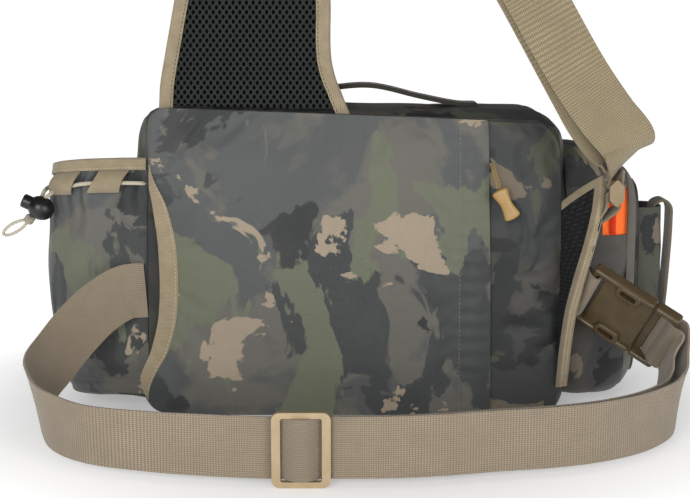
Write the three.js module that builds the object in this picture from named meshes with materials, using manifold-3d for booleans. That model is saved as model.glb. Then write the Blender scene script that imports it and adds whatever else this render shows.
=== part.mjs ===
// Fishing sling bag: a soft body with an open and a zipped side pocket, a hip wing, a buckled waist
// belt laid in a loop in front of it, and one padded shoulder strap.
// Millimetres, +Z up, floor at Z = 0. The side that lies on the wearer faces -Y.
// Tables are written with Y = 0 on the wearer's side, and the whole bag is then moved so that
// the origin is the middle of its flat base.
import * as THREE from "three";
import { mergeVertices } from "three/addons/utils/BufferGeometryUtils.js";
import Module from "manifold-3d";

const wasm = await Module();
wasm.setup();

// Driving dimensions
const GAP = 0.35; // clearance between pieces that are sewn or threaded together
const CLOTH = 2; // laminated cloth of the body and pockets
const TAPE = 1; // binding tape
const BODY_DEPTH = 114; // wearer's side to far side, between the seams
const WEB = { width: 40, thick: 1.6 }; // belt and strap webbing
const TRI_GLIDE = { length: 37, height: 48.4, rim: 5.5, bar: 6, thick: 4.4 };
const BUCKLE = { half: 35, halfWidth: 25.5, thick: 10, bar: 4.5, opening: 7, mouth: 14.75 };
const BUCKLE_INSIDE = { cavity: 6, halfWidth: 18.6, prong: 5, arm: 18 };
const RING = { length: 47, height: 17, bar: 5, thick: 6, tab: 16 };
const PAD = { edge: 2.4, shoulder: 3, middle: 4.5, hem: 9 }; // half thicknesses of the strap pad
const WING_THICK = 3;
const CORD = { drawcord: 3, pullCord: 2.4 };

// A table is a line of column names and rows of numbers.
function table(columns, ...rows) {
  const names = columns.split(" ");
  return rows.map((row) => Object.fromEntries(names.map((name, i) => [name, row[i]])));
}

// Sections of the body, from the wearer's side to the far side.
// left and right: half widths under the top; foot: half width over the base; tilt: fall of the top to
// the right; roundLeft, roundRight and heel: radii of the corners; bow: swell of the sides.
const BODY = table(
  "y left right foot top tilt base roundLeft roundRight heel bow",
  [0, 147, 147, 150, 222, -0.034, 2.6, 13, 16, 12, 0],
  [6, 150, 149, 153, 223.8, -0.025, 0.7, 16, 20, 13, 2],
  [20, 155, 152, 157, 224.8, -0.012, 0, 24, 25, 15, 4],
  [57, 160, 154, 158, 225, -0.008, 0, 32, 28, 17, 6],
  [94, 154, 151, 155, 223, -0.008, 0, 26, 26, 15, 4],
  [108, 149, 148, 152, 220.4, -0.008, 0.7, 18, 22, 13, 2],
  [BODY_DEPTH, 146, 146, 149, 218, -0.008, 2.6, 16, 18, 12, 0],
);

// Outer panel of the wearer's side: rows from the bottom up, with its hollowed left edge,
// and the outer edge of the tape that binds it. The right edge is the placket of the slot pocket.
const BACK_PANEL = table(
  "z tilt left tape right",
  [1.6, 0, -136, -136.2, 98],
  [7, 0, -147, -147.3, 99.5],
  [17, 0, -151, -154.5, 100],
  [32, 0, -146, -154.5, 100],
  [50, 0, -136, -147, 99.5],
  [79, 0, -129, -140.5, 99],
  [124, 0, -128.5, -140, 98],
  [155, -0.006, -135, -143.5, 97],
  [178, -0.012, -145, -147, 96.5],
  [205, -0.026, -146.5, -146.8, 96],
  [217, -0.033, -144, -144.3, 95.5],
  [221.6, -0.036, -137, -137.3, 95],
);
const BACK_PUFF = { edge: 5.4, swell: 8, placket: 10.4 };

// Lower layer of the slot pocket, right of the placket.
const BACK_POCKET = table(
  "z tilt left right",
  [1.6, 0, 88, 141],
  [7, 0, 88, 148],
  [30, 0, 88, 150.4],
  [120, 0, 88, 150],
  [190, -0.01, 88, 147.5],
  [208, -0.02, 88, 144.5],
  [220, -0.034, 88, 135],
);
const POCKET_PUFF = { edge: 5, swell: 4.5 };

// Plan of the open left pocket, round from the wearer's side: distance out from the body's side, and Y.
const LEFT_PLAN = table(
  "out y",
  [0.8, 11],
  [18, 8.5],
  [44, 9],
  [58, 16],
  [65, 34],
  [66, 53],
  [64, 74],
  [56, 90],
  [42, 97],
  [18, 98],
  [0.8, 96],
);
const LEFT_RISE = table(
  "z spread",
  [14, 0.86],
  [26, 0.93],
  [60, 0.98],
  [120, 0.98],
  [165, 0.96],
  [187, 0.95],
);
const LEFT_RIM_FALL = 0.17; // fall of the rim towards the far side, for each millimetre of depth
const LEFT_BAND_DROP = 9.5;

// Ring sections of the zipped right pocket, from the body outwards.
const RIGHT_POCKET = table(
  "out back front base top corner",
  [0.8, 22, 102, 9, 197, 12],
  [14, 20, 104, 7, 196, 16],
  [30, 21, 103, 7, 190, 20],
  [44, 25, 99, 10, 181, 24],
  [53, 33, 92, 20, 169, 24],
);
const RIGHT_SIDE = 157; // X that the outer rings are measured from
const FACE_SWELL = 4.5;
const FACE_SEAT = 1.7; // rim of the outer face over the last ring
const RIGHT_ZIP = { left: 184, right: 204, foot: 131, head: 166, coil: 192, coilWidth: 5 };

// Flat tool sleeve on the face of the right pocket.
const SLEEVE_PLAN = table(
  "out y",
  [0.6, 42],
  [9, 42],
  [17, 47],
  [20, 62],
  [17, 77],
  [9, 82],
  [0.6, 82],
);
const SLEEVE_RISE = table("z spread", [48, 0.72], [62, 0.9], [105, 1], [149, 1]);

// Webbing loop of the tool sleeve, in its own plane.
const TOOL_STRAP = table(
  "x z",
  [227.5, 128],
  [227.4, 143],
  [229.8, 150.6],
  [236.5, 152.8],
  [241, 148.5],
  [241.8, 137],
  [240.4, 100],
  [238.5, 72],
  [236.5, 58],
);
const TOOL_STRAP_SIZE = { y: 62, width: 20, thick: 2 };

// Hip wing: height of each row at the seam, and the place of its free edge.
const WING = table(
  "root x y z crown",
  [22, 151.8, -9, 24, 0],
  [52, 153, -14, 52, 0],
  [80, 155.5, -19.5, 80, 0],
  [104, 160.5, -24.5, 106, 0],
  [127, 167, -29, 134, 1],
  [147, 171.5, -31, 158, 3],
  [163, 173, -32, 180, 4],
);
const WING_ROOT = { x: 150.9, y: -4.2 };
const WING_HEM = 5.5;

// Waist belt, from the left seam round the front to the right: centre of the webbing, the lean of its
// upper edge, and the distance of the returning inner layer where there is one.
const BELT = table(
  "x y z leanX leanY split",
  [-154.8, 4.6, 94, 0, 0, 0],
  [-167, -2, 93, -0.12, 0, 0],
  [-182, -11, 84, -0.39, -0.1, 0],
  [-198, -26, 69, -0.56, -0.16, 0],
  [-209, -44, 55, -0.56, -0.17, 0],
  [-215, -62, 47, -0.48, -0.18, 0],
  [-216, -82, 39, -0.22, -0.06, 0],
  [-208, -102, 32, -0.2, 0, 0],
  [-195, -118, 28.5, -0.1, 0, 0],
  [-172, -135, 26.5, 0, -0.1, 0],
  [-131, -147, 25.5, 0, -0.05, 0],
  [-97, -152.5, 25, 0, 0, 0],
  [-68, -157, 25, 0, 0, 0],
);
const BELT_RIGHT = table(
  "x y z leanX leanY split",
  [2, -158, 25, 0, 0, 2.4],
  [28, -157, 25, 0, 0, 2.4],
  [60, -152, 25, 0, 0, 2.6],
  [92, -144, 25, 0, 0, 3],
  [125, -137.5, 25, 0, 0, 3.4],
  [158, -126, 25, 0, 0, 4],
  [186, -109, 25, 0, 0, 4.6],
  [205, -93, 26, 0.02, -0.03, 5.4],
  [218, -78, 28, 0.05, -0.1, 7],
  [225, -63, 33, 0.1, -0.27, 9],
  [227.5, -49, 42, 0.2, -0.5, 9.5],
);
const SLIDER_AT = { x: -33.3, y: -161.5, z: 24.6 };
const BUCKLE_AT = new THREE.Vector3(195, -16.4, 78.5);
const BUCKLE_ALONG = new THREE.Vector3(0.81, -0.306, -0.497).normalize();
const BUCKLE_ACROSS = new THREE.Vector3(0.28, -0.54, 0.79);

// Shoulder pad: centre line of each section from the seam up, its reach to both sides and its fall
// to the right.
const SHOULDER_PAD = table(
  "z x y left right fall",
  [226.5, -70, 4, 68, 68, 0.024],
  [242, -70.5, 4.4, 66, 59, 0.02],
  [262, -71, 5, 62, 54, 0.01],
  [302, -71, 4.5, 54, 53.5, 0.02],
  [350, -67, 4, 47, 47, 0.12],
  [400, -57.5, 3, 40, 40, 0.24],
  [445, -43.5, 2, 32, 32, 0.38],
  [474, -30, 1, 25, 25, 0.46],
);
// Shoulder webbing: from the pad's tip over the top, down to the ring and back up to its slider.
const SHOULDER_WEB = table(
  "x y z acrossX acrossY acrossZ",
  [-29.8, 0.8, 474.9, 0.91, 0, -0.41],
  [-20, 0, 494, 0.9, 0, -0.42],
  [-9.5, -4, 512, 0.95, 0, -0.3],
  [-1.5, -15, 521.5, 0.98, 0, 0.1],
  [4, -28, 515, 0.9, 0, 0.4],
  [12, -36, 496, 0.87, 0, 0.49],
  [33, -38.5, 457, 0.866, 0, 0.5],
  [62, -39, 407, 0.866, 0, 0.5],
);
const STRAP_SLIDER_AT = new THREE.Vector3(94, -40, 352);
const SHOULDER_WEB_DOWN = table(
  "x y z acrossX acrossY acrossZ",
  [123, -43, 302, 0.866, 0, 0.5],
  [153, -45, 251, 0.86, 0, 0.51],
  [172, -46, 224, 0.88, 0.05, 0.44],
  [187.5, -44, 206, 0.95, 0.22, 0.2],
  [191.5, -35, 195.5, 0.7, 0.7, 0.04],
);
const SHOULDER_WEB_RETURN = table(
  "x y z acrossX acrossY acrossZ",
  [178.2, -28.5, 196, 0.5, 0.86, 0.05],
  [171.5, -33, 209, 0.82, 0.48, 0.3],
  [161, -36.5, 228, 0.87, 0.1, 0.46],
  [147.5, -38, 252, 0.866, 0, 0.5],
  [120.5, -38.5, 300, 0.866, 0, 0.5],
  [106.5, -37.2, 325, 0.866, 0, 0.5],
  [96.6, -35.4, 350, 0.866, 0, 0.5],
);
const RING_AT = new THREE.Vector3(184, -26, 171);
const RING_ALONG = new THREE.Vector3(0.04, 1, 0).normalize();

// Grab handle: rise over the top of the body.
const HANDLE = table(
  "x rise",
  [-76, 0],
  [-64, 0],
  [-42, 5.5],
  [-12, 11.5],
  [14, 13],
  [49, 5.5],
  [72, 1],
  [80, 0],
  [91, 0],
);
const HANDLE_SIZE = { y: 42, width: 24, thick: 3.4 };

const CLOTH_LOOK = { color: 0x5d5a4c, roughness: 0.85, metalness: 0 };
const LINING_LOOK = { color: 0x3f3d36, roughness: 0.9, metalness: 0 };
const WEB_LOOK = { color: 0xa98f68, roughness: 0.8, metalness: 0 };
const MESH_LOOK = { color: 0x191919, roughness: 0.95, metalness: 0 };
const PLASTIC_LOOK = { color: 0xa58a62, roughness: 0.45, metalness: 0 };
const CORD_LOOK = { color: 0xe6e1d2, roughness: 0.8, metalness: 0 };
const LOCK_LOOK = { color: 0x101010, roughness: 0.35, metalness: 0 };
const ZIP_LOOK = { color: 0xd2691e, roughness: 0.8, metalness: 0 };
const COIL_LOOK = { color: 0xc23a1c, roughness: 0.4, metalness: 0 };

const vec = (x, y, z) => new THREE.Vector3(x, y, z);
const mix = THREE.MathUtils.lerp;
const clamp = THREE.MathUtils.clamp;
const steps = (count) => Array.from({ length: count + 1 }, (_, i) => i / count);

// Smooth value of a column of a table, where the key column passes through a given value.
function valueAt(rows, key, column, at) {
  const last = rows.length - 1;
  let i = 0;
  while (i < last - 1 && rows[i + 1][key] < at) i += 1;
  const slope = (k) => {
    const before = rows[Math.max(k - 1, 0)];
    const after = rows[Math.min(k + 1, last)];
    return (after[column] - before[column]) / (after[key] - before[key]);
  };
  const span = rows[i + 1][key] - rows[i][key];
  const t = clamp((at - rows[i][key]) / span, 0, 1);
  const start = rows[i][column] * (2 * t ** 3 - 3 * t ** 2 + 1);
  const end = rows[i + 1][column] * (3 * t ** 2 - 2 * t ** 3);
  const leave = slope(i) * span * (t ** 3 - 2 * t ** 2 + t);
  const arrive = slope(i + 1) * span * (t ** 3 - t ** 2);
  return start + end + leave + arrive;
}

// Every column of a table at one value of the key column.
function rowAt(rows, key, at) {
  const row = {};
  for (const column of Object.keys(rows[0])) row[column] = valueAt(rows, key, column, at);
  return row;
}

// Closed mesh from vertices and triangles, turned so that its faces point out.
function solid(points, triangles) {
  let volume = 0;
  for (const [a, b, c] of triangles) {
    volume += points[a].dot(vec(0, 0, 0).crossVectors(points[b], points[c]));
  }
  const faces = volume < 0 ? triangles.map(([a, b, c]) => [a, c, b]) : triangles;
  const geometry = new THREE.BufferGeometry();
  const position = points.flatMap((p) => [p.x, p.y, p.z]);
  geometry.setAttribute("position", new THREE.Float32BufferAttribute(position, 3));
  geometry.setIndex(faces.flat());
  return geometry;
}

// Wall of one thickness under a grid of points: grid[i][j], i along u and j along v.
// The grid is the outer face, on the side of du x dv, and the wall lies behind it.
function wall(grid, thickness, round = false) {
  const [nu, nv] = [grid.length, grid[0].length];
  const column = (i) => (round ? (i + nu) % nu : clamp(i, 0, nu - 1));
  const points = grid.flat();
  for (let i = 0; i < nu; i += 1) {
    for (let j = 0; j < nv; j += 1) {
      const du = grid[column(i + 1)][j].clone().sub(grid[column(i - 1)][j]);
      const dv = grid[i][Math.min(j + 1, nv - 1)].clone().sub(grid[i][Math.max(j - 1, 0)]);
      const normal = du.cross(dv).normalize();
      points.push(grid[i][j].clone().addScaledVector(normal, -thickness));
    }
  }
  const outer = (i, j) => column(i) * nv + j;
  const inner = (i, j) => nu * nv + column(i) * nv + j;
  const faces = [];
  const quad = (a, b, c, d) => faces.push([a, b, c], [a, c, d]);
  const spans = round ? nu : nu - 1;
  for (let i = 0; i < spans; i += 1) {
    for (let j = 0; j < nv - 1; j += 1) {
      quad(outer(i, j), outer(i + 1, j), outer(i + 1, j + 1), outer(i, j + 1));
      quad(inner(i, j), inner(i, j + 1), inner(i + 1, j + 1), inner(i + 1, j));
    }
    quad(outer(i + 1, 0), outer(i, 0), inner(i, 0), inner(i + 1, 0));
    quad(outer(i, nv - 1), outer(i + 1, nv - 1), inner(i + 1, nv - 1), inner(i, nv - 1));
  }
  if (!round) {
    for (let j = 0; j < nv - 1; j += 1) {
      quad(outer(0, j), outer(0, j + 1), inner(0, j + 1), inner(0, j));
      quad(outer(nu - 1, j + 1), outer(nu - 1, j), inner(nu - 1, j), inner(nu - 1, j + 1));
    }
  }
  return solid(points, faces);
}

// Solid swept through frames. A frame has a place and two directions, and the profile is a closed
// outline in those directions, given as a list or worked out for each frame.
function sweep(frames, profile) {
  const outline = (i) => (typeof profile === "function" ? profile(i) : profile);
  const sides = outline(0).length;
  const points = [];
  frames.forEach(({ at, across, out }, i) => {
    for (const [a, o] of outline(i)) {
      points.push(at.clone().addScaledVector(across, a).addScaledVector(out, o));
    }
  });
  const faces = [];
  for (let i = 0; i < frames.length - 1; i += 1) {
    for (let k = 0; k < sides; k += 1) {
      const next = (k + 1) % sides;
      const [a, b] = [i * sides + k, i * sides + next];
      faces.push([a, b, b + sides], [a, b + sides, a + sides]);
    }
  }
  const contour = outline(0).map(([a, o]) => new THREE.Vector2(a, o));
  const turn = THREE.ShapeUtils.isClockWise(contour) ? -1 : 1;
  for (const [a, b, c] of THREE.ShapeUtils.triangulateShape(contour, [])) {
    const cap = [a, b, c].map((k) => contour[k]);
    const ccw = THREE.ShapeUtils.area(cap) * turn > 0 ? [a, b, c] : [a, c, b];
    const end = (frames.length - 1) * sides;
    faces.push([ccw[0], ccw[2], ccw[1]], ccw.map((k) => k + end));
  }
  return solid(points, faces);
}

// Frames along a flat band, from rows with a centre and the direction across the band.
function bandFrames(places, directions, perSpan) {
  const line = new THREE.CatmullRomCurve3(places);
  const turn = new THREE.CatmullRomCurve3(directions);
  return steps((places.length - 1) * perSpan).map((t) => {
    const along = line.getTangent(t);
    const across = turn.getPoint(t);
    across.addScaledVector(along, -across.dot(along)).normalize();
    return { at: line.getPoint(t), across, out: vec(0, 0, 0).crossVectors(along, across) };
  });
}

const strip = (width, thick) => [
  [-width / 2, -thick / 2],
  [width / 2, -thick / 2],
  [width / 2, thick / 2],
  [-width / 2, thick / 2],
];

// Binding tape folded over an edge: a U whose mouth points along +across.
const foldedTape = (depth, halfGap) => [
  [depth, halfGap + TAPE],
  [-GAP - TAPE, halfGap + TAPE],
  [-GAP - TAPE, -halfGap - TAPE],
  [depth, -halfGap - TAPE],
  [depth, -halfGap],
  [-GAP, -halfGap],
  [-GAP, halfGap],
  [depth, halfGap],
];

// Round cord through a list of places.
function cord(places, diameter, perSpan) {
  const sides = 8;
  const section = new THREE.Shape();
  section.absarc(0, 0, diameter / 2, 0, 2 * Math.PI, false);
  const path = new THREE.CatmullRomCurve3(places);
  const count = (places.length - 1) * perSpan;
  const options = { extrudePath: path, steps: count, curveSegments: sides / 2 };
  return bare(new THREE.ExtrudeGeometry(section, options));
}

// Geometry with shared vertices and nothing but positions.
function bare(geometry) {
  geometry.deleteAttribute("normal");
  geometry.deleteAttribute("uv");
  return mergeVertices(geometry, 1e-3);
}

// Flat plate with bevelled edges from an outline, its middle plane on Z = 0.
function plate(outline, thick, bevel) {
  const shape = outline instanceof THREE.Shape ? outline : new THREE.Shape(outline);
  const depth = thick - 2 * bevel;
  const geometry = new THREE.ExtrudeGeometry(shape, {
    depth,
    curveSegments: 2,
    bevelEnabled: bevel > 0,
    bevelThickness: bevel,
    bevelSize: bevel,
    bevelOffset: -bevel,
    bevelSegments: 1,
  });
  geometry.translate(0, 0, -depth / 2);
  return bare(geometry);
}

// Rectangle with rounded corners, centred on the origin.
function roundedBox(width, height, radius) {
  const shape = new THREE.Shape();
  const [x, y] = [width / 2 - radius, height / 2 - radius];
  shape.absarc(x, y, radius, 0, Math.PI / 2, false);
  shape.absarc(-x, y, radius, Math.PI / 2, Math.PI, false);
  shape.absarc(-x, -y, radius, Math.PI, 1.5 * Math.PI, false);
  shape.absarc(x, -y, radius, 1.5 * Math.PI, 2 * Math.PI, false);
  return shape;
}

// Joining and cutting of closed meshes.
function toManifold(geometry) {
  const merged = mergeVertices(geometry, 1e-3);
  const vertProperties = merged.attributes.position.array;
  const triVerts = new Uint32Array(merged.index.array);
  return new wasm.Manifold(new wasm.Mesh({ numProp: 3, vertProperties, triVerts }));
}

function fromManifold(made) {
  const { numProp, vertProperties, triVerts } = made.getMesh();
  const geometry = new THREE.BufferGeometry();
  geometry.setAttribute("position", new THREE.BufferAttribute(vertProperties.slice(), numProp));
  geometry.setIndex(new THREE.BufferAttribute(triVerts.slice(), 1));
  return geometry;
}

const join = (a, b) => fromManifold(toManifold(a).add(toManifold(b)));
const cut = (a, b) => fromManifold(toManifold(a).subtract(toManifold(b)));

function block(x0, x1, y0, y1, z0, z1) {
  const box = new THREE.BoxGeometry(x1 - x0, y1 - y0, z1 - z0);
  box.translate((x0 + x1) / 2, (y0 + y1) / 2, (z0 + z1) / 2);
  return bare(box);
}

// Slot right through a plate, centred on x.
function slot(x, width, height) {
  const past = 10;
  return block(x - width / 2, x + width / 2, -height / 2, height / 2, -past, past);
}

// Place on a rounded outline. s counts its eight stretches from the lower left corner:
// base, corner, right side, corner, top, corner, left side, corner.
function outlinePoint(o, s) {
  const turned = ((s % 8) + 8) % 8;
  const stretch = Math.floor(turned);
  const t = turned - stretch;
  const corners = [
    { x: o.rightFoot, z: o.base, r: o.heel },
    { x: o.right, z: o.topRight, r: o.cornerRight },
    { x: o.left, z: o.topLeft, r: o.cornerLeft },
    { x: o.leftFoot, z: o.base, r: o.heel },
  ];
  const arcs = corners.map((corner, k) => {
    const towards = (other) => {
      const [dx, dz] = [other.x - corner.x, other.z - corner.z];
      const size = Math.hypot(dx, dz);
      return [corner.x + (dx * corner.r) / size, corner.z + (dz * corner.r) / size];
    };
    return { corner, from: towards(corners[(k + 3) % 4]), to: towards(corners[(k + 1) % 4]) };
  });
  if (stretch % 2 === 1) {
    const { corner, from, to } = arcs[(stretch - 1) / 2];
    const [a, b] = [1 - Math.sin((t * Math.PI) / 2), 1 - Math.cos((t * Math.PI) / 2)];
    return [
      corner.x + (from[0] - corner.x) * a + (to[0] - corner.x) * b,
      corner.z + (from[1] - corner.z) * a + (to[1] - corner.z) * b,
    ];
  }
  const from = arcs[(stretch / 2 + 3) % 4].to;
  const to = arcs[stretch / 2].from;
  const swell = Math.sin(Math.PI * t) * (o.bow ?? 0);
  const side = stretch === 2 ? swell : stretch === 6 ? -swell : 0;
  return [mix(from[0], to[0], t) + side, mix(from[1], to[1], t)];
}

// Outline of the body at a depth.
function bodyOutline(y) {
  const row = rowAt(BODY, "y", y);
  return {
    left: -row.left,
    right: row.right,
    leftFoot: -row.foot,
    rightFoot: row.foot,
    topLeft: row.top - row.tilt * row.left,
    topRight: row.top + row.tilt * row.right,
    base: Math.max(row.base, 0),
    cornerLeft: row.roundLeft,
    cornerRight: row.roundRight,
    heel: row.heel,
    bow: row.bow,
  };
}

// Distance of the body's side from its middle, right for +1 and left for -1.
function sideAt(hand, y, z) {
  const outline = bodyOutline(y);
  const [low, high] = hand > 0 ? [2, 3] : [7, 6];
  const [foot, top] = [outlinePoint(outline, low), outlinePoint(outline, high - 1e-9)];
  const t = clamp((z - foot[1]) / (top[1] - foot[1]), 0, 1);
  return Math.abs(outlinePoint(outline, mix(low, high, t) - (t === 1 ? 1e-9 : 0))[0]);
}

const topAt = (x, y) => {
  const row = rowAt(BODY, "y", y);
  return row.top + row.tilt * x;
};

// Columns along an outline between two places on it, with corners finer than straight stretches.
function outlineStops(from, to, perStretch) {
  const stops = [from];
  for (let s = Math.floor(from); s < to; s += 1) {
    const count = perStretch[((s % 8) + 8) % 8];
    for (let k = 0; k < count; k += 1) {
      const stop = s + k / count;
      if (stop > from + 0.02 && stop < to - 0.02) stops.push(stop);
    }
  }
  stops.push(to);
  return stops;
}

// Panel that closes an outline: rows across it from the base up to the top.
function closingRows(outline, perSide, columns) {
  const rows = [];
  for (const s of outlineStops(1, 4, [0, 3, perSide, 3])) {
    const right = outlinePoint(outline, Math.min(s, 4 - 1e-9));
    const left = outlinePoint(outline, Math.max(9 - s, 5 + 1e-9) - (s === 1 ? 1e-9 : 0));
    rows.push(steps(columns).map((u) => [mix(left[0], right[0], u), mix(left[1], right[1], u)]));
  }
  return rows;
}

const looks = new Map();
function lookOf(settings) {
  if (!looks.has(settings)) looks.set(settings, new THREE.MeshStandardMaterial(settings));
  return looks.get(settings);
}

const bag = new THREE.Group();
function add(name, geometry, look) {
  const mesh = new THREE.Mesh(geometry, lookOf(look));
  mesh.name = name;
  bag.add(mesh);
  return mesh;
}

// Turns a piece made flat on X and Y so that they lie along two directions in space.
function place(mesh, at, along, across) {
  const out = vec(0, 0, 0).crossVectors(along, across);
  mesh.quaternion.setFromRotationMatrix(new THREE.Matrix4().makeBasis(along, across, out));
  mesh.position.copy(at);
}

// Body
const SIDE_SEAM = 0.45; // share of the side's height where the top and base gussets meet
const BODY_STOPS = [4, 3, 4, 3, 6, 3, 4, 3];
const BODY_DEPTHS = [0, 3.5, 10, 24, 57, 90, 104, 110.5, BODY_DEPTH];

function gusset(from, to) {
  const depths = BODY_DEPTHS.toReversed();
  const grid = outlineStops(from, to, BODY_STOPS).map((s) =>
    depths.map((y) => {
      const [x, z] = outlinePoint(bodyOutline(y), s);
      return vec(x, y, z);
    }),
  );
  return wall(grid, CLOTH);
}

function makeBody() {
  const seamGap = GAP / 150;
  const [rightSeam, leftSeam] = [2 + SIDE_SEAM, 7 - SIDE_SEAM];
  add("base_gusset", gusset(leftSeam - 8 + seamGap, rightSeam - seamGap), CLOTH_LOOK);
  add("top_gusset", gusset(rightSeam + seamGap, leftSeam - seamGap), CLOTH_LOOK);

  const back = closingRows(bodyOutline(0), 4, 2);
  const backGrid = steps(2).map((_, i) => back.map((row) => vec(row[i][0], -GAP - CLOTH, row[i][1])));
  add("inner_back", wall(backGrid, CLOTH), LINING_LOOK);

  const swell = 12;
  const across = 8;
  const front = closingRows(bodyOutline(BODY_DEPTH), 4, across);
  const frontGrid = steps(across).map((u, i) =>
    front.map((row, j) => {
      const rise = Math.sin((Math.PI * j) / (front.length - 1)) * Math.sin(Math.PI * u);
      const [x, z] = row[across - i];
      return vec(x, BODY_DEPTH + GAP + CLOTH + swell * Math.sqrt(rise), z);
    }),
  );
  add("front_panel", wall(frontGrid, CLOTH), CLOTH_LOOK);
}

// Panels of the wearer's side: rows of a table, with a puffed face.
function panelGrid(rows, heights, columns, face) {
  return steps(columns).map((u) =>
    heights.map((z) => {
      const row = rowAt(rows, "z", z);
      const x = mix(row.left, row.right, u);
      const v = (z - rows[0].z) / (rows.at(-1).z - rows[0].z);
      return vec(x, -face(u, v), z + row.tilt * x);
    }),
  );
}

const PANEL_HEIGHTS = [1.6, 6, 16, 32, 52, 78, 102, 126, 150, 172, 196, 212, 221.6];

function makeBackPanel() {
  const rim = (t, power) => 1 - Math.abs(2 * t - 1) ** power;
  const backFace = (u, v) => {
    const { edge, swell, placket } = BACK_PUFF;
    const base = mix(edge, placket, clamp((u - 0.8) / 0.14, 0, 1));
    return base + swell * rim(v, 5) * rim(clamp(u * 0.9, 0, 1), 3);
  };
  const panel = panelGrid(BACK_PANEL, PANEL_HEIGHTS, 12, backFace);
  add("back_panel", wall(panel, CLOTH), CLOTH_LOOK);

  const pocketFace = (u, v) => POCKET_PUFF.edge + POCKET_PUFF.swell * rim(v, 6) * rim(u, 2.5);
  const strip = panelGrid(BACK_POCKET, PANEL_HEIGHTS.slice(0, -1).concat(220), 6, pocketFace);
  add("back_pocket", wall(strip, CLOTH), CLOTH_LOOK);

  const heights = PANEL_HEIGHTS.filter((z) => z > 8 && z < 195);
  const tapeGrid = steps(3).map((u) =>
    heights.map((z) => {
      const row = rowAt(BACK_PANEL, "z", z);
      const inner = row.left - GAP - 0.2;
      const outer = Math.min(row.tape, inner - 1);
      const x = mix(outer, inner, u);
      return vec(x, -BACK_PUFF.edge + 0.8, z + row.tilt * x);
    }),
  );
  add("back_edge_binding", wall(tapeGrid, TAPE + 0.6), WEB_LOOK);
}

function makeZipPull() {
  const pull = { length: 24, end: 5.5, waist: 3.2, thick: 4 };
  const outline = [];
  for (const hand of [1, -1]) {
    for (const t of steps(8)) {
      const along = mix(-pull.length / 2, pull.length / 2, hand > 0 ? t : 1 - t);
      const width = mix(pull.waist, pull.end, Math.abs(2 * t - 1) ** 2);
      outline.push(new THREE.Vector2(along, -hand * width));
    }
  }
  const head = vec(102.4, -18.6, 170);
  const along = vec(0.47, 0.02, -0.88).normalize();
  const mesh = add("zip_pull", plate(outline, pull.thick, 0.8), PLASTIC_LOOK);
  const middle = head.clone().addScaledVector(along, pull.length / 2);
  place(mesh, middle, along, vec(0.88, 0, 0.47).normalize());
  const route = [vec(97.6, -13.6, 187), vec(99, -17, 184), vec(100.6, -18.4, 178), vec(102.1, -18.6, 170.8)];
  add("zip_pull_cord", cord(route, CORD.pullCord, 3), WEB_LOOK);
}

function makeHandle() {
  const { y, width, thick } = HANDLE_SIZE;
  const seat = GAP + 0.3 + thick / 2;
  const places = HANDLE.map(({ x, rise }) => vec(x, y, topAt(x, y) + seat + rise));
  const across = HANDLE.map(() => vec(0, 1, 0));
  add("grab_handle", sweep(bandFrames(places, across, 3), strip(width, thick)), WEB_LOOK);
}

// Place on the outer face of the left pocket, t along its plan, lifted off the cloth.
const LEFT_CURVE = new THREE.CatmullRomCurve3(LEFT_PLAN.map(({ out, y }) => vec(out, y, 0)));
function leftPocketAt(t, z, lift = 0) {
  const spread = valueAt(LEFT_RISE, "z", "spread", z);
  const [foot, rim] = [LEFT_RISE[0], LEFT_RISE.at(-1)];
  const spot = (share) => {
    const { x: out, y } = LEFT_CURVE.getPoint(clamp(share, 0, 1));
    const pulled = mix(y, BODY_DEPTH / 2, 0.5 * clamp(1 - spread, 0, 1));
    const fall = LEFT_RIM_FALL * (y - LEFT_PLAN[1].y) * ((z - foot.z) / (rim.z - foot.z));
    const height = z - Math.max(fall, 0);
    return vec(-sideAt(-1, y, height) - (out < 2 ? out : out * spread), pulled, height);
  };
  const nudge = 0.005;
  const along = spot(t + nudge).sub(spot(t - nudge));
  const away = vec(-along.y, along.x, 0).normalize();
  return spot(t).addScaledVector(away, lift);
}

function makeLeftPocket() {
  const stops = steps(20);
  const heights = [14, 20, 34, 66, 110, 150, 187];
  const grid = stops.map((t) => heights.map((z) => leftPocketAt(t, z)));
  add("left_pocket", wall(grid, -CLOTH), CLOTH_LOOK);

  const floor = stops.map((t) => leftPocketAt(t, heights[0]));
  const inset = GAP + CLOTH / 2;
  const inner = stops.toReversed().slice(1, -1).map((t) => {
    const y = mix(floor[0].y, floor.at(-1).y, t);
    return vec(-sideAt(-1, y, heights[0]) - 0.8, y, 0);
  });
  const shape = floor.concat(inner).map((p) => new THREE.Vector2(p.x, p.y));
  const base = add("left_pocket_base", plate(shape, CLOTH, 0), CLOTH_LOOK);
  base.position.z = heights[0] - inset;

  const rim = heights.at(-1);
  const frames = stops.map((t) => {
    const at = leftPocketAt(t, rim, -CLOTH / 2);
    const across = leftPocketAt(t, rim - LEFT_BAND_DROP).sub(leftPocketAt(t, rim)).normalize();
    const out = leftPocketAt(t, rim, 1).sub(leftPocketAt(t, rim));
    out.addScaledVector(across, -out.dot(across)).normalize();
    return { at, across, out };
  });
  const tape = foldedTape(LEFT_BAND_DROP, CLOTH / 2 + GAP + 0.25);
  add("left_pocket_band", sweep(frames.slice(1, -1), tape), WEB_LOOK);
}

// Cord tunnels on the left pocket, the drawcord through them, and its lock, knot and tail.
const TUNNELS = table("from to low high", [0.07, 0.165, 163.5, 176.5], [0.24, 0.325, 163, 176.5]);
const TUNNEL = { lift: 0.5, arch: 5.4, thick: 1.2 };
const LOCK = { x: -230, y: 15, z: 153, radius: 8, length: 22 };

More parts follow.
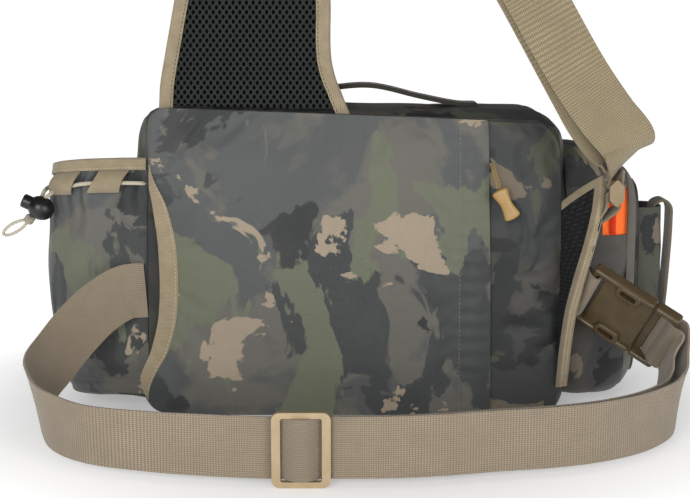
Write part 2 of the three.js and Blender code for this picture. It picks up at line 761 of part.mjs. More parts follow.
function makeDrawcord() {
  const names = ["cord_loop_back", "cord_loop_corner"];
  TUNNELS.forEach(({ from, to, low, high }, k) => {
    const grid = steps(3).map((u) =>
      steps(6).map((v) => {
        const lift = TUNNEL.lift + TUNNEL.thick + TUNNEL.arch * Math.sin(Math.PI * v) ** 0.7;
        return leftPocketAt(mix(from, to, u), mix(low, high, v), lift);
      }),
    );
    add(names[k], wall(grid, -TUNNEL.thick), WEB_LOOK);
  });

  const radius = CORD.drawcord / 2;
  const lift = GAP + radius + 0.6;
  const lock = vec(LOCK.x, LOCK.y, LOCK.z);
  const reach = LOCK.radius + 0.6;
  const near = steps(8).map((u) => leftPocketAt(mix(0.02, 0.345, u), 170, lift));
  near.push(vec(-224.5, 17, 166));
  near.push(lock.clone().add(vec(0.3, -0.05, 0.95).setLength(reach)));
  add("drawcord", cord(near, CORD.drawcord, 2), CORD_LOOK);

  const far = steps(10).map((u) => leftPocketAt(mix(0.98, 0.44, u), 170, lift));
  far.push(vec(-229.5, 22, 165));
  far.push(lock.clone().add(vec(-0.1, 0.45, 0.88).setLength(reach - 0.4)));
  add("drawcord_far", cord(far, CORD.drawcord, 1), CORD_LOOK);

  const { radius: wide, length } = LOCK;
  const profile = [
    [0, -length / 2],
    [wide * 0.62, -length / 2],
    [wide * 0.92, -length * 0.36],
    [wide, -length * 0.1],
    [wide * 0.9, length * 0.14],
    [wide * 0.62, length * 0.2],
    [wide * 0.62, length * 0.44],
    [wide * 0.5, length / 2],
    [0, length / 2],
  ].map(([r, h]) => new THREE.Vector2(r, h));
  const body = add("cord_lock", bare(new THREE.LatheGeometry(profile, 14)), LOCK_LOOK);
  body.position.copy(lock);
  body.quaternion.setFromUnitVectors(vec(0, 1, 0), vec(-0.9, -0.05, 0.42).normalize());

  const knot = lock.clone().add(vec(-0.62, 0.05, -0.78).setLength(LOCK.radius + 3.6));
  const ball = add("cord_knot", bare(new THREE.IcosahedronGeometry(3.6, 1)), CORD_LOOK);
  ball.position.copy(knot);

  const tail = [
    [-3.2, -2, -1.2],
    [-8, -2.7, -4],
    [-13.5, -2.8, -7.4],
    [-18.4, -2, -10.4],
    [-20.4, 0.3, -11.6],
    [-18, 2.4, -10.2],
    [-13, 2.9, -7.2],
    [-8, 2.7, -4.2],
    [-3.2, 2, -1.6],
  ].map(([x, y, z]) => knot.clone().add(vec(x, y, z)));
  add("cord_tail", cord(tail, CORD.drawcord, 2), CORD_LOOK);
}

// Right pocket: rings outwards from the body's side, closed by a swelled face.
function rightOutline({ back, front, base, top, corner }) {
  return {
    left: back,
    right: front,
    leftFoot: back,
    rightFoot: front,
    topLeft: top,
    topRight: top,
    base,
    cornerLeft: corner,
    cornerRight: corner,
    heel: corner,
  };
}

const faceAt = (y, z) => {
  const rise = Math.cos((Math.PI / 2) * clamp((y - 62.5) / 31, -1, 1));
  const height = Math.cos((Math.PI / 2) * clamp((z - 94) / 76, -1, 1));
  return RIGHT_SIDE + RIGHT_POCKET.at(-1).out + FACE_SEAT + FACE_SWELL * Math.sqrt(rise * height);
};

// Y of the wearer's side of the right pocket.
function backOfRightPocket(x, z) {
  const { back, top, corner } = rowAt(RIGHT_POCKET, "out", x - RIGHT_SIDE);
  const above = clamp((z - top + corner) / corner, 0, 0.98);
  return back + corner * (1 - Math.sqrt(1 - above ** 2));
}

function makeRightPocket() {
  const last = RIGHT_POCKET.at(-1);
  const reaches = [0.8, 8, 18, 30, 40, 47, last.out];
  const grid = outlineStops(0, 8, [4, 3, 5, 3, 4, 3, 5, 3]).slice(0, -1).map((s) =>
    reaches.map((out) => {
      const [y, z] = outlinePoint(rightOutline(rowAt(RIGHT_POCKET, "out", out)), s);
      const side = mix(sideAt(1, y, z), RIGHT_SIDE, clamp(out / 30, 0, 1));
      return vec(side + out, y, z);
    }),
  );
  const ring = wall(grid, CLOTH, true);
  const { left, right, foot, head, coil, coilWidth } = RIGHT_ZIP;
  add("right_pocket", cut(ring, block(left, right, 0, 50, foot, head)), CLOTH_LOOK);

  const across = 6;
  const face = closingRows(rightOutline(last), 5, across);
  const faceGrid = steps(across).map((_, i) => face.map((row) => vec(faceAt(...row[i]), ...row[i])));
  add("right_pocket_face", wall(faceGrid, CLOTH), CLOTH_LOOK);

  const behind = CLOTH + GAP + 0.7;
  const lap = 1.6;
  const zipGrid = (from, to, low, high, set) =>
    steps(4).map((u) =>
      steps(4).map((v) => {
        const [x, z] = [mix(from, to, u), mix(low, high, v)];
        const across = backOfRightPocket(x + 0.5, z) - backOfRightPocket(x - 0.5, z);
        const upwards = backOfRightPocket(x, z + 0.5) - backOfRightPocket(x, z - 0.5);
        return vec(x, backOfRightPocket(x, z) + set * Math.hypot(1, across, upwards), z);
      }),
    );
  const tape = zipGrid(left - lap, right + lap, foot - lap, head + lap, behind);
  add("right_zip_tape", wall(tape, TAPE), ZIP_LOOK);
  const [from, to] = [coil - coilWidth / 2, coil + coilWidth / 2];
  const teeth = zipGrid(from, to, foot + 0.4, head - 0.4, behind - GAP - 2);
  add("right_zip_coil", wall(teeth, 2), COIL_LOOK);
}

const SLEEVE_CURVE = new THREE.CatmullRomCurve3(SLEEVE_PLAN.map(({ out, y }) => vec(out, y, 0)));
function makeToolSleeve() {
  const stops = steps(14);
  const heights = [48, 58, 78, 112, 149];
  const spot = (t, z) => {
    const { x: out, y } = SLEEVE_CURVE.getPoint(t);
    const spread = out < 1 ? 1 : valueAt(SLEEVE_RISE, "z", "spread", z);
    return vec(faceAt(y, z) + out * spread, y, z);
  };
  const grid = stops.map((t) => heights.map((z) => spot(t, z)));
  add("tool_sleeve", wall(grid, CLOTH), CLOTH_LOOK);
  const shape = stops.map((t) => {
    const p = spot(t, heights[0]);
    return new THREE.Vector2(p.x, p.y);
  });
  const closing = stops.toReversed().slice(1, -1).map((t) => {
    const { y } = spot(t, heights[0]);
    return new THREE.Vector2(faceAt(y, heights[0]) + 0.6, y);
  });
  const base = add("tool_sleeve_base", plate(shape.concat(closing), CLOTH, 0), CLOTH_LOOK);
  base.position.z = heights[0] - GAP - CLOTH / 2;

  const { y, width, thick } = TOOL_STRAP_SIZE;
  const places = TOOL_STRAP.map(({ x, z }) => vec(x, y, z));
  const across = TOOL_STRAP.map(() => vec(0, 1, 0));
  add("tool_strap", sweep(bandFrames(places, across, 3), strip(width, thick)), WEB_LOOK);
}

// Hip wing: a padded fin from the right seam, bound along its free edges.
function makeWing() {
  const columns = 6;
  const seams = steps(12).map((t) => mix(WING[0].root, WING.at(-1).root, t));
  const grid = steps(columns).map((u) =>
    seams.map((root) => {
      const row = rowAt(WING, "root", root);
      const seam = vec(WING_ROOT.x, WING_ROOT.y, root);
      const p = seam.lerp(vec(row.x, row.y, row.z), u);
      p.z += row.crown * Math.sin(Math.PI * u);
      return p;
    }),
  );
  add("hip_wing", wall(grid, WING_THICK), MESH_LOOK);

  const middle = (p, next, up) => {
    const along = next.clone().sub(p);
    const normal = along.clone().cross(up).normalize();
    return { at: p.clone().addScaledVector(normal, -WING_THICK / 2), normal };
  };
  const halfGap = WING_THICK / 2 + GAP;
  const edge = grid.at(-1);
  const edgeFrames = edge.map((p, j) => {
    const inward = grid.at(-2)[j].clone().sub(p).normalize();
    const above = edge[Math.min(j + 1, edge.length - 1)];
    const up = above.clone().sub(edge[Math.max(j - 1, 0)]).normalize();
    const { at, normal } = middle(p, p.clone().sub(inward), up);
    return { at, across: inward, out: normal };
  });
  const depths = edgeFrames.map((_, j) => Math.min(WING_HEM, edge[j].distanceTo(grid[0][j]) - 2));
  add("wing_binding_edge", sweep(edgeFrames, (j) => foldedTape(depths[j], halfGap)), WEB_LOOK);

  const top = grid.map((rows) => rows.at(-1));
  const topFrames = top.slice(1, -2).map((p, i) => {
    const down = grid[i + 1].at(-2).clone().sub(p).normalize();
    const along = top[i + 2].clone().sub(top[i]).normalize();
    const normal = along.cross(down.clone().negate()).normalize();
    return { at: p.clone().addScaledVector(normal, -WING_THICK / 2), across: down, out: normal };
  });
  add("wing_binding_top", sweep(topFrames, foldedTape(WING_HEM, halfGap)), WEB_LOOK);
}

// Waist belt with its slider and buckle
const ACROSS_BUCKLE = BUCKLE_ACROSS.clone()
  .addScaledVector(BUCKLE_ALONG, -BUCKLE_ACROSS.dot(BUCKLE_ALONG))
  .normalize();
const OUT_OF_BUCKLE = vec(0, 0, 0).crossVectors(BUCKLE_ALONG, ACROSS_BUCKLE);
const buckleAt = (along, out) =>
  BUCKLE_AT.clone().addScaledVector(BUCKLE_ALONG, along).addScaledVector(OUT_OF_BUCKLE, out);

// Way of a webbing past the middle bar of a slider: behind its rims and in front of its bar.
function weave() {
  const behind = TRI_GLIDE.thick / 2 + WEB.thick / 2 + GAP + 0.05;
  const rim = TRI_GLIDE.length / 2 - TRI_GLIDE.rim;
  const bar = TRI_GLIDE.bar / 2 + 0.4;
  return [
    [-rim - 7, -behind],
    [-rim - 0.4, -behind],
    [-(rim + bar) / 2, 0],
    [-bar, behind],
    [bar, behind],
    [(rim + bar) / 2, 0],
    [rim + 0.4, -behind],
    [rim + 7, -behind],
  ];
}

function triGlide() {
  const { length, height, rim, bar, thick } = TRI_GLIDE;
  const opening = (length - 2 * rim - bar) / 2;
  const middle = (opening + bar) / 2;
  const body = plate(roundedBox(length, height, 5), thick, 0.8);
  const oneSlot = cut(body, slot(-middle, opening, WEB.width + 1));
  return cut(oneSlot, slot(middle, opening, WEB.width + 1));
}

function makeBelt() {
  const sides = ({ x, y, z, leanX, leanY }) => [vec(x, y, z), vec(leanX, leanY, 1)];
  const runs = BELT.map(sides);
  for (const [along, front] of weave()) {
    runs.push([vec(SLIDER_AT.x + along, SLIDER_AT.y - front, 25), vec(0, 0, 1)]);
  }
  runs.push(...BELT_RIGHT.map(sides));
  const { half, bar, opening, thick } = BUCKLE;
  const over = thick / 2 + GAP + 0.4;
  const slotAt = half - bar - opening / 2;
  const turn = [
    [half + 4, -over - 0.3],
    [half - 2.4, -over],
    [slotAt + 1.4, 0.6 - thick / 2],
    [slotAt + 1, 0],
    [slotAt + 1.4, thick / 2 - 0.6],
    [half - 2.4, over],
    [half + 4, over + 0.3],
  ];
  for (const [along, out] of turn) runs.push([buckleAt(along, out), ACROSS_BUCKLE]);
  BELT_RIGHT.toReversed().forEach((row, i, rows) => {
    const before = rows[Math.min(i + 1, rows.length - 1)];
    const after = rows[Math.max(i - 1, 0)];
    const inward = vec(before.y - after.y, after.x - before.x, 0).normalize();
    const [at, across] = sides(row);
    runs.push([at.addScaledVector(inward, row.split), across]);
  });
  runs.push([vec(SLIDER_AT.x + 3, -155.4, 25), vec(0, 0, 1)]);
  const frames = bandFrames(runs.map(([at]) => at), runs.map(([, across]) => across), 2);
  add("waist_belt", sweep(frames, strip(WEB.width, WEB.thick)), WEB_LOOK);

  const glide = add("belt_slider", triGlide(), PLASTIC_LOOK);
  place(glide, vec(SLIDER_AT.x, SLIDER_AT.y, SLIDER_AT.z), vec(1, 0, 0), vec(0, 0, 1));
}

const mirrored = (half) => half.concat(half.toReversed().map(([x, y]) => [x, -y]));
const asOutline = (points) => points.map(([x, y]) => new THREE.Vector2(x, y));

function makeBuckle() {
  const { half, halfWidth: wide, thick, bar, opening, mouth } = BUCKLE;
  const { cavity, halfWidth: room, prong, arm } = BUCKLE_INSIDE;
  const neck = 14.5;
  const waist = { from: -18, to: 1 };
  const slotAt = half - bar - opening / 2;
  const webSlot = (x) => slot(x, opening, WEB.width + 1);

  const socketOutline = asOutline(
    mirrored([
      [mouth, wide - 2.5],
      [mouth - 4, wide - 0.5],
      [waist.to, wide - 1.5],
      [waist.to - 2, neck],
      [waist.from + 2, neck],
      [waist.from, wide - 2],
      [-half + 6, wide - 1],
      [-half, wide - 4],
    ]).toReversed(),
  );
  const body = cut(plate(socketOutline, thick, 1.4), webSlot(-slotAt));
  const inside = block(opening / 2 - slotAt + 3, mouth + 5, -room, room, -cavity / 2, cavity / 2);
  const socket = add("buckle_socket", cut(body, inside), PLASTIC_LOOK);
  place(socket, BUCKLE_AT, BUCKLE_ALONG, ACROSS_BUCKLE);

  const lobe = { tip: waist.from + 4, back: waist.to - 7, out: wide - 3.5, inside: 12.5 };
  const root = mouth + GAP;
  const arms = asOutline(
    mirrored([
      [root + 3, arm],
      [lobe.back + 5, arm],
      [lobe.back, lobe.out],
      [lobe.tip + 5, lobe.out - 1],
      [lobe.tip, 16],
      [lobe.tip + 1, lobe.inside],
      [root - 3, lobe.inside],
      [root - 3, 3],
      [root - 14, 2.5],
    ]).toReversed(),
  );
  const frame = asOutline(
    mirrored([
      [half, wide - 5],
      [half - 3, wide - 1.5],
      [root + 3, wide - 0.5],
      [root, wide - 2],
    ]).toReversed(),
  );
  const handle = cut(plate(frame, thick - 2, 1.2), webSlot(slotAt));
  const plug = add("buckle_plug", join(plate(arms, prong, 0.6), handle), PLASTIC_LOOK);
  place(plug, BUCKLE_AT, BUCKLE_ALONG, ACROSS_BUCKLE);

  const over = thick / 2 + WEB.thick / 2 + GAP + 0.1;
  const runs = [
    [vec(155.6, 5, 100.6), vec(0, 0, 1)],
    [buckleAt(-half - 6, -over - 0.2), ACROSS_BUCKLE],
    [buckleAt(-half - 2, -over - 0.2), ACROSS_BUCKLE],
    [buckleAt(-half + 2, -over), ACROSS_BUCKLE],
    [buckleAt(-slotAt - 3.1, -over - 0.1), ACROSS_BUCKLE],
    [buckleAt(-slotAt - 1.6, 0.4 - thick / 2), ACROSS_BUCKLE],
    [buckleAt(-slotAt - 1.2, 0), ACROSS_BUCKLE],
    [buckleAt(-slotAt - 1.6, thick / 2 - 0.4), ACROSS_BUCKLE],
    [buckleAt(-slotAt - 3.1, over + 0.1), ACROSS_BUCKLE],
    [buckleAt(-half + 2, over), ACROSS_BUCKLE],
    [buckleAt(-half - 1.2, over - 1.8), ACROSS_BUCKLE],
    [buckleAt(-half - 4, 1.4), ACROSS_BUCKLE],
  ];
  const frames = bandFrames(runs.map(([at]) => at), runs.map(([, across]) => across), 2);
  const width = (i) => mix(24, WEB.width - 2, clamp(i / 5, 0, 1));
  add("buckle_tab", sweep(frames, (i) => strip(width(i), WEB.thick)), WEB_LOOK);
}

// Shoulder strap
function makeShoulderPad() {
  const heights = steps(14).map((t) => mix(SHOULDER_PAD[0].z, SHOULDER_PAD.at(-1).z, t));
  const rows = heights.map((z) => rowAt(SHOULDER_PAD, "z", z));
  const frames = rows.map(({ x, y, z, fall }) => ({
    at: vec(x, y, z),
    across: vec(1, 0, -fall).normalize(),
    out: vec(0, -1, 0),
  }));
  const { edge, shoulder, middle, hem } = PAD;
  const section = (i) => {
    const { left, right } = rows[i];
    const face = [
      [right, edge],
      [right - hem, shoulder],
      [right - 2 * hem, middle],
      [2 * hem - left, middle],
      [hem - left, shoulder],
      [-left, edge],
    ];
    return face.concat(face.toReversed().map(([a, o]) => [a, -o]));
  };
  add("shoulder_pad", sweep(frames, section), MESH_LOOK);
  for (const [name, hand] of [["pad_binding_left", -1], ["pad_binding_right", 1]]) {
    const edges = frames.map(({ at, across: side, out }, i) => ({
      at: at.clone().addScaledVector(side, hand > 0 ? rows[i].right : -rows[i].left),
      across: side.clone().multiplyScalar(-hand),
      out,
    }));
    add(name, sweep(edges, foldedTape(hem, shoulder + GAP)), WEB_LOOK);
  }
}

function makeShoulderWebbing() {
  const sides = ({ x, y, z, acrossX, acrossY, acrossZ }) => [
    vec(x, y, z),
    vec(acrossX, acrossY, acrossZ),
  ];
  const down = vec(0.5, 0, -0.866);
  const flat = vec(0.866, 0, 0.5);
  const front = vec(0, -1, 0);
  const runs = SHOULDER_WEB.map(sides);
  for (const [along, lift] of weave()) {
    const at = STRAP_SLIDER_AT.clone().addScaledVector(down, along).addScaledVector(front, lift);
    runs.push([at, flat]);
  }
  runs.push(...SHOULDER_WEB_DOWN.map(sides));
  const side = vec(RING_ALONG.y, -RING_ALONG.x, 0);
  const upperBar = RING.height / 2 - RING.bar / 2;
  const clear = RING.thick / 2 + WEB.thick / 2 + GAP + 0.1;
  const under = RING.bar / 2 + WEB.thick / 2 + GAP + 0.3;
  const round = [
    [clear + 1, upperBar + 10.5],
    [clear + 0.3, upperBar + 4],
    [clear, upperBar],
    [clear - 0.35, upperBar - under + 0.5],
    [0, upperBar - under - 0.1],
    [0.35 - clear, upperBar - under + 0.5],
    [-clear, upperBar],
    [-clear - 0.3, upperBar + 4],
    [-clear - 1, upperBar + 10.5],
  ];
  for (const [out, up] of round) {
    const at = RING_AT.clone().addScaledVector(side, out).add(vec(0, 0, up));
    runs.push([at, RING_ALONG]);
  }
  runs.push(...SHOULDER_WEB_RETURN.map(sides));
  const frames = bandFrames(runs.map(([at]) => at), runs.map(([, across]) => across), 2);
  add("shoulder_webbing", sweep(frames, strip(WEB.width, WEB.thick)), WEB_LOOK);

  const glide = add("strap_slider", triGlide(), PLASTIC_LOOK);
  place(glide, STRAP_SLIDER_AT, down, flat);
}

function makeRing() {
  const { length, height, bar, thick } = RING;
  const blank = plate(roundedBox(length, height, 3), thick, 1);
  const body = cut(blank, slot(0, length - 5, height - 2 * bar));
  const ring = add("strap_ring", body, PLASTIC_LOOK);
  place(ring, RING_AT, RING_ALONG, vec(0, 0, 1));

  const side = vec(RING_ALONG.y, -RING_ALONG.x, 0);
  const clear = thick / 2 + WEB.thick / 2 + GAP;
  const lowerBar = bar / 2 - height / 2;
  const spot = (out, up) => RING_AT.clone().addScaledVector(side, out).add(vec(0, 0, up));
  const wing = vec(-0.5, 0.86, 0);
  const above = bar / 2 + WEB.thick / 2 + GAP + 0.3;
  const runs = [
    [vec(165.3, -13.7, 143.4), wing],
    [vec(173.4, -17.2, 152), wing],
    [spot(-clear - 0.3, lowerBar - 6), RING_ALONG],
    [spot(-clear, lowerBar), RING_ALONG],
    [spot(0.25 - clear, lowerBar + above - 0.5), RING_ALONG],
    [spot(0, lowerBar + above + 0.1), RING_ALONG],
    [spot(clear - 0.25, lowerBar + above - 0.5), RING_ALONG],
    [spot(clear, lowerBar), RING_ALONG],
    [spot(clear + 0.2, lowerBar - 6), RING_ALONG],
    [vec(176.8, -14.8, 152), wing],
    [vec(167.3, -12.2, 143.4), wing],
  ];
  const frames = bandFrames(runs.map(([at]) => at), runs.map(([, across]) => across), 2);
  add("ring_tab", sweep(frames, strip(RING.tab, WEB.thick)), WEB_LOOK);
}

makeBody();
makeBackPanel();
makeZipPull();
makeHandle();
makeLeftPocket();
makeDrawcord();
makeRightPocket();
makeToolSleeve();
makeWing();
makeBelt();
makeBuckle();
makeShoulderPad();
makeShoulderWebbing();
makeRing();

bag.position.y = -BODY_DEPTH / 2;
const part = new THREE.Group();
part.add(bag);

export default part;
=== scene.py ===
# %% [markdown]
# # A fishing sling bag, sewn over its frame
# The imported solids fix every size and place. This lesson dresses them: cloth is cut as flat grids,
# laid on the bag and let settle by simulation, webbing is swept along its route, and the moulded
# fittings are modelled with edit tools. All lengths in the tables are millimetres of the real bag.

# %% Load the frame
import math

import bpy
from mathutils import Matrix, Vector, noise


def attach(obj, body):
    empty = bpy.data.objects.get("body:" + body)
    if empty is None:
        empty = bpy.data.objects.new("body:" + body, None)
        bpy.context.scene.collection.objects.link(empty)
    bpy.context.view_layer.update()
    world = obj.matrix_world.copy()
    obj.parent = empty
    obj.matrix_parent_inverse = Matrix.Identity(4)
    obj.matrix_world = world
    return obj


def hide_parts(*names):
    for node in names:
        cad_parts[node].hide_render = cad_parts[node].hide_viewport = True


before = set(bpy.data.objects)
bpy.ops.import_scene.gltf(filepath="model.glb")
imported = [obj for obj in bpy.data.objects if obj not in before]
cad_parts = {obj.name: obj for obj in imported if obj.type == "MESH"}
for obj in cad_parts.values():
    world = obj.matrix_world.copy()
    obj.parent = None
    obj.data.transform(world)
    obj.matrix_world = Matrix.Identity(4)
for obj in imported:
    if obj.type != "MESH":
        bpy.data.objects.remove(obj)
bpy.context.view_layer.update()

# %% [markdown]
# ## The camera
# The photograph looks almost straight at the side that lies on the wearer, from a metre away and a
# little above. The lens follows from how fast the bag's depth shrinks in the picture.

# %% Camera
CAMERA_AT, CAMERA_TILT = (-0.006, -1.057, 0.291), 9.46
SENSOR_WIDTH, FOCAL_LENGTH = 36, 73.04
bpy.ops.object.camera_add(location=CAMERA_AT, rotation=(math.radians(90 - CAMERA_TILT), 0, 0))
camera = bpy.context.object
camera.name = "photo_camera"
camera.data.sensor_width = SENSOR_WIDTH
camera.data.lens = FOCAL_LENGTH
bpy.context.scene.camera = camera
print("camera at", tuple(round(c, 3) for c in camera.location))

# %% [markdown]
# ## Places on the bag
# The tables count depth from the seam of the wearer's side, and the frame has its origin in the
# middle of the base. One helper goes from the first to the second. Another reads a table smoothly
# between its rows, so that a few measured rows give a flowing surface.

# %% Helpers for places
MM = 0.001
BODY_DEPTH = 114


def in_frame(place):
    return Vector((place[0], place[1] - BODY_DEPTH / 2, place[2])) * MM


def mix(a, b, t):
    return a + (b - a) * t


def clamp(value, low=0.0, high=1.0):
    return max(low, min(high, value))


def read_row(rows, at):
    """All columns of a table at one value of its first column."""
    last = len(rows) - 1
    i = 0
    while i < last - 1 and rows[i + 1][0] < at:
        i += 1
    span = rows[i + 1][0] - rows[i][0]
    t = clamp((at - rows[i][0]) / span)

    def slope(k, column):
        before, after = rows[max(k - 1, 0)], rows[min(k + 1, last)]
        return (after[column] - before[column]) / (after[0] - before[0])

    values = []
    for column in range(len(rows[0])):
        leave = slope(i, column) * span * (t**3 - 2 * t**2 + t)
        arrive = slope(i + 1, column) * span * (t**3 - t**2)
        start = rows[i][column] * (2 * t**3 - 3 * t**2 + 1)
        end = rows[i + 1][column] * (3 * t**2 - 2 * t**3)
        values.append(start + end + leave + arrive)
    return values


def curve_point(points, t):
    """Point of a smooth line through all the points, t from 0 to 1."""
    last = len(points) - 1
    p = clamp(t) * last
    i = min(int(p), last - 1)
    w = p - i
    p1, p2 = points[i], points[i + 1]
    p0 = points[i - 1] if i > 0 else p1 * 2 - p2
    p3 = points[i + 2] if i + 2 <= last else p2 * 2 - p1
    d1 = max((p2 - p1).length ** 0.5, 1e-4)
    d0 = (p1 - p0).length ** 0.5 or d1
    d2 = (p3 - p2).length ** 0.5 or d1
    m1 = ((p1 - p0) / d0 - (p2 - p0) / (d0 + d1) + (p2 - p1) / d1) * d1
    m2 = ((p2 - p1) / d1 - (p3 - p1) / (d1 + d2) + (p3 - p2) / d2) * d1
    return p1 + m1 * w + (p2 * 3 - p1 * 3 - m1 * 2 - m2) * w**2 + (p1 * 2 - p2 * 2 + m1 + m2) * w**3


print("middle of the wearer's seam", tuple(in_frame((0, 0, 110))))

# %% [markdown]
# ## Cutting cloth
# Each cloth or webbing piece starts as a grid primitive, the flat cut. Its points are then laid in
# place by their share across and along the cut, and the UV map is stretched to real metres, so a
# weave keeps its scale and follows the thread on every piece.

# %% Helpers for cloth
def deselect():
    bpy.ops.object.select_all(action="DESELECT")


def choose(piece):
    deselect()
    piece.select_set(True)
    bpy.context.view_layer.objects.active = piece


def edit(piece, *steps):
    """Edit mode with all of a piece selected, for the mesh operators that are given as steps."""
    choose(piece)
    bpy.ops.object.mode_set(mode="EDIT")
    bpy.ops.mesh.select_all(action="SELECT")
    for step in steps:
        step()
    bpy.ops.object.mode_set(mode="OBJECT")


def weld(piece, near=1e-6):
    edit(piece, lambda: bpy.ops.mesh.remove_doubles(threshold=near))


def face_outward():
    bpy.ops.mesh.normals_make_consistent(inside=False)


def fill_ends():
    bpy.ops.mesh.fill_holes(sides=0)


def apply_modifier(piece, kind, **settings):
    choose(piece)
    bpy.ops.object.modifier_add(type=kind)
    modifier = piece.modifiers[-1]
    for name, value in settings.items():
        setattr(modifier, name, value)
    bpy.ops.object.modifier_apply(modifier=modifier.name)


def lay(name, across, along, place, closed=False):
    """Grid cut of across x along faces, laid where place(u, v) says, in millimetres."""
    deselect()
    bpy.ops.mesh.primitive_grid_add(x_subdivisions=across, y_subdivisions=along, size=1)
    piece = bpy.context.object
    piece.name = name
    for vertex in piece.data.vertices:
        vertex.co = in_frame(place(vertex.co.x + 0.5, vertex.co.y + 0.5))

    def length(line):
        stops = [Vector(line(i / 40)) for i in range(41)]
        return sum((b - a).length for a, b in zip(stops, stops[1:])) * MM

    wide, tall = length(lambda t: place(t, 0.5)), length(lambda t: place(0.5, t))
    for loop in piece.data.uv_layers.active.data:
        loop.uv = (loop.uv[0] * wide, loop.uv[1] * tall)
    if closed:
        weld(piece)
    return piece


def wall(piece, thick, offset=-1.0):
    """Gives a laid cut its thickness, behind its face unless told otherwise."""
    apply_modifier(piece, "SOLIDIFY", thickness=thick * MM, offset=offset)


def refine(piece, levels=1):
    apply_modifier(piece, "SUBSURF", levels=levels, render_levels=levels)


def border(piece):
    """Indices of the points on the open edges of a laid cut."""
    uses = {}
    for polygon in piece.data.polygons:
        for key in polygon.edge_keys:
            uses[key] = uses.get(key, 0) + 1
    return {index for key, count in uses.items() if count == 1 for index in key}


CLOTH_FRAMES, CLOTH_STIFFNESS = 20, 15


def settle(piece, pressure, slack, cap, held=lambda vertex: False):
    """Lets a cut settle as cloth and tells how far it moved, in millimetres.

    Its open edges are sewn down, and so is every point that held picks. slack is its spare length,
    and no point moves further than cap.
    """
    choose(piece)
    start = [vertex.co.copy() for vertex in piece.data.vertices]
    edge = border(piece)
    sewn = piece.vertex_groups.new(name="sewn")
    sewn.add([v.index for v in piece.data.vertices if v.index in edge or held(v)], 1.0, "REPLACE")
    bpy.ops.object.modifier_add(type="CLOTH")
    cloth = piece.modifiers[-1]
    cloth.settings.quality = 7
    cloth.settings.mass = 0.3
    cloth.settings.tension_stiffness = CLOTH_STIFFNESS
    cloth.settings.compression_stiffness = CLOTH_STIFFNESS
    cloth.settings.bending_stiffness = 0.6
    cloth.settings.vertex_group_mass = sewn.name
    cloth.settings.shrink_min = -slack
    cloth.settings.use_pressure = True
    cloth.settings.uniform_pressure_force = pressure
    cloth.settings.effector_weights.gravity = 0
    cloth.collision_settings.use_collision = False
    cloth.point_cache.frame_start = 1
    cloth.point_cache.frame_end = CLOTH_FRAMES
    for number in range(1, CLOTH_FRAMES + 1):
        bpy.context.scene.frame_set(number)
    bpy.ops.object.modifier_apply(modifier=cloth.name)
    bpy.context.scene.frame_set(1)
    piece.vertex_groups.clear()
    most = 0.0
    for vertex, before in zip(piece.data.vertices, start):
        move = vertex.co - before
        if move.length > cap * MM:
            vertex.co = before + move * (cap * MM / move.length)
        most = max(most, min(move.length, cap * MM))
    return round(most / MM, 2)


def rim(t, power):
    """One in the middle of a cut and zero at both edges, t from 0 to 1."""
    return 1 - abs(2 * clamp(t) - 1) ** power


def ripple(x, y, z, size):
    """Smooth unevenness between -1 and 1, with folds about size millimetres apart."""
    return noise.noise(Vector((x, y, z)) / size)


print("cloth helpers ready")

# %% [markdown]
# ## Finishes
# A finish is a small node tree on the principled shader. The camouflage cloth layers blotches of
# noise over each other, cut off sharply as in a print, with a fine twill in the bump. The webbing,
# tape and cord read the UV map, because their weave has to follow the thread.

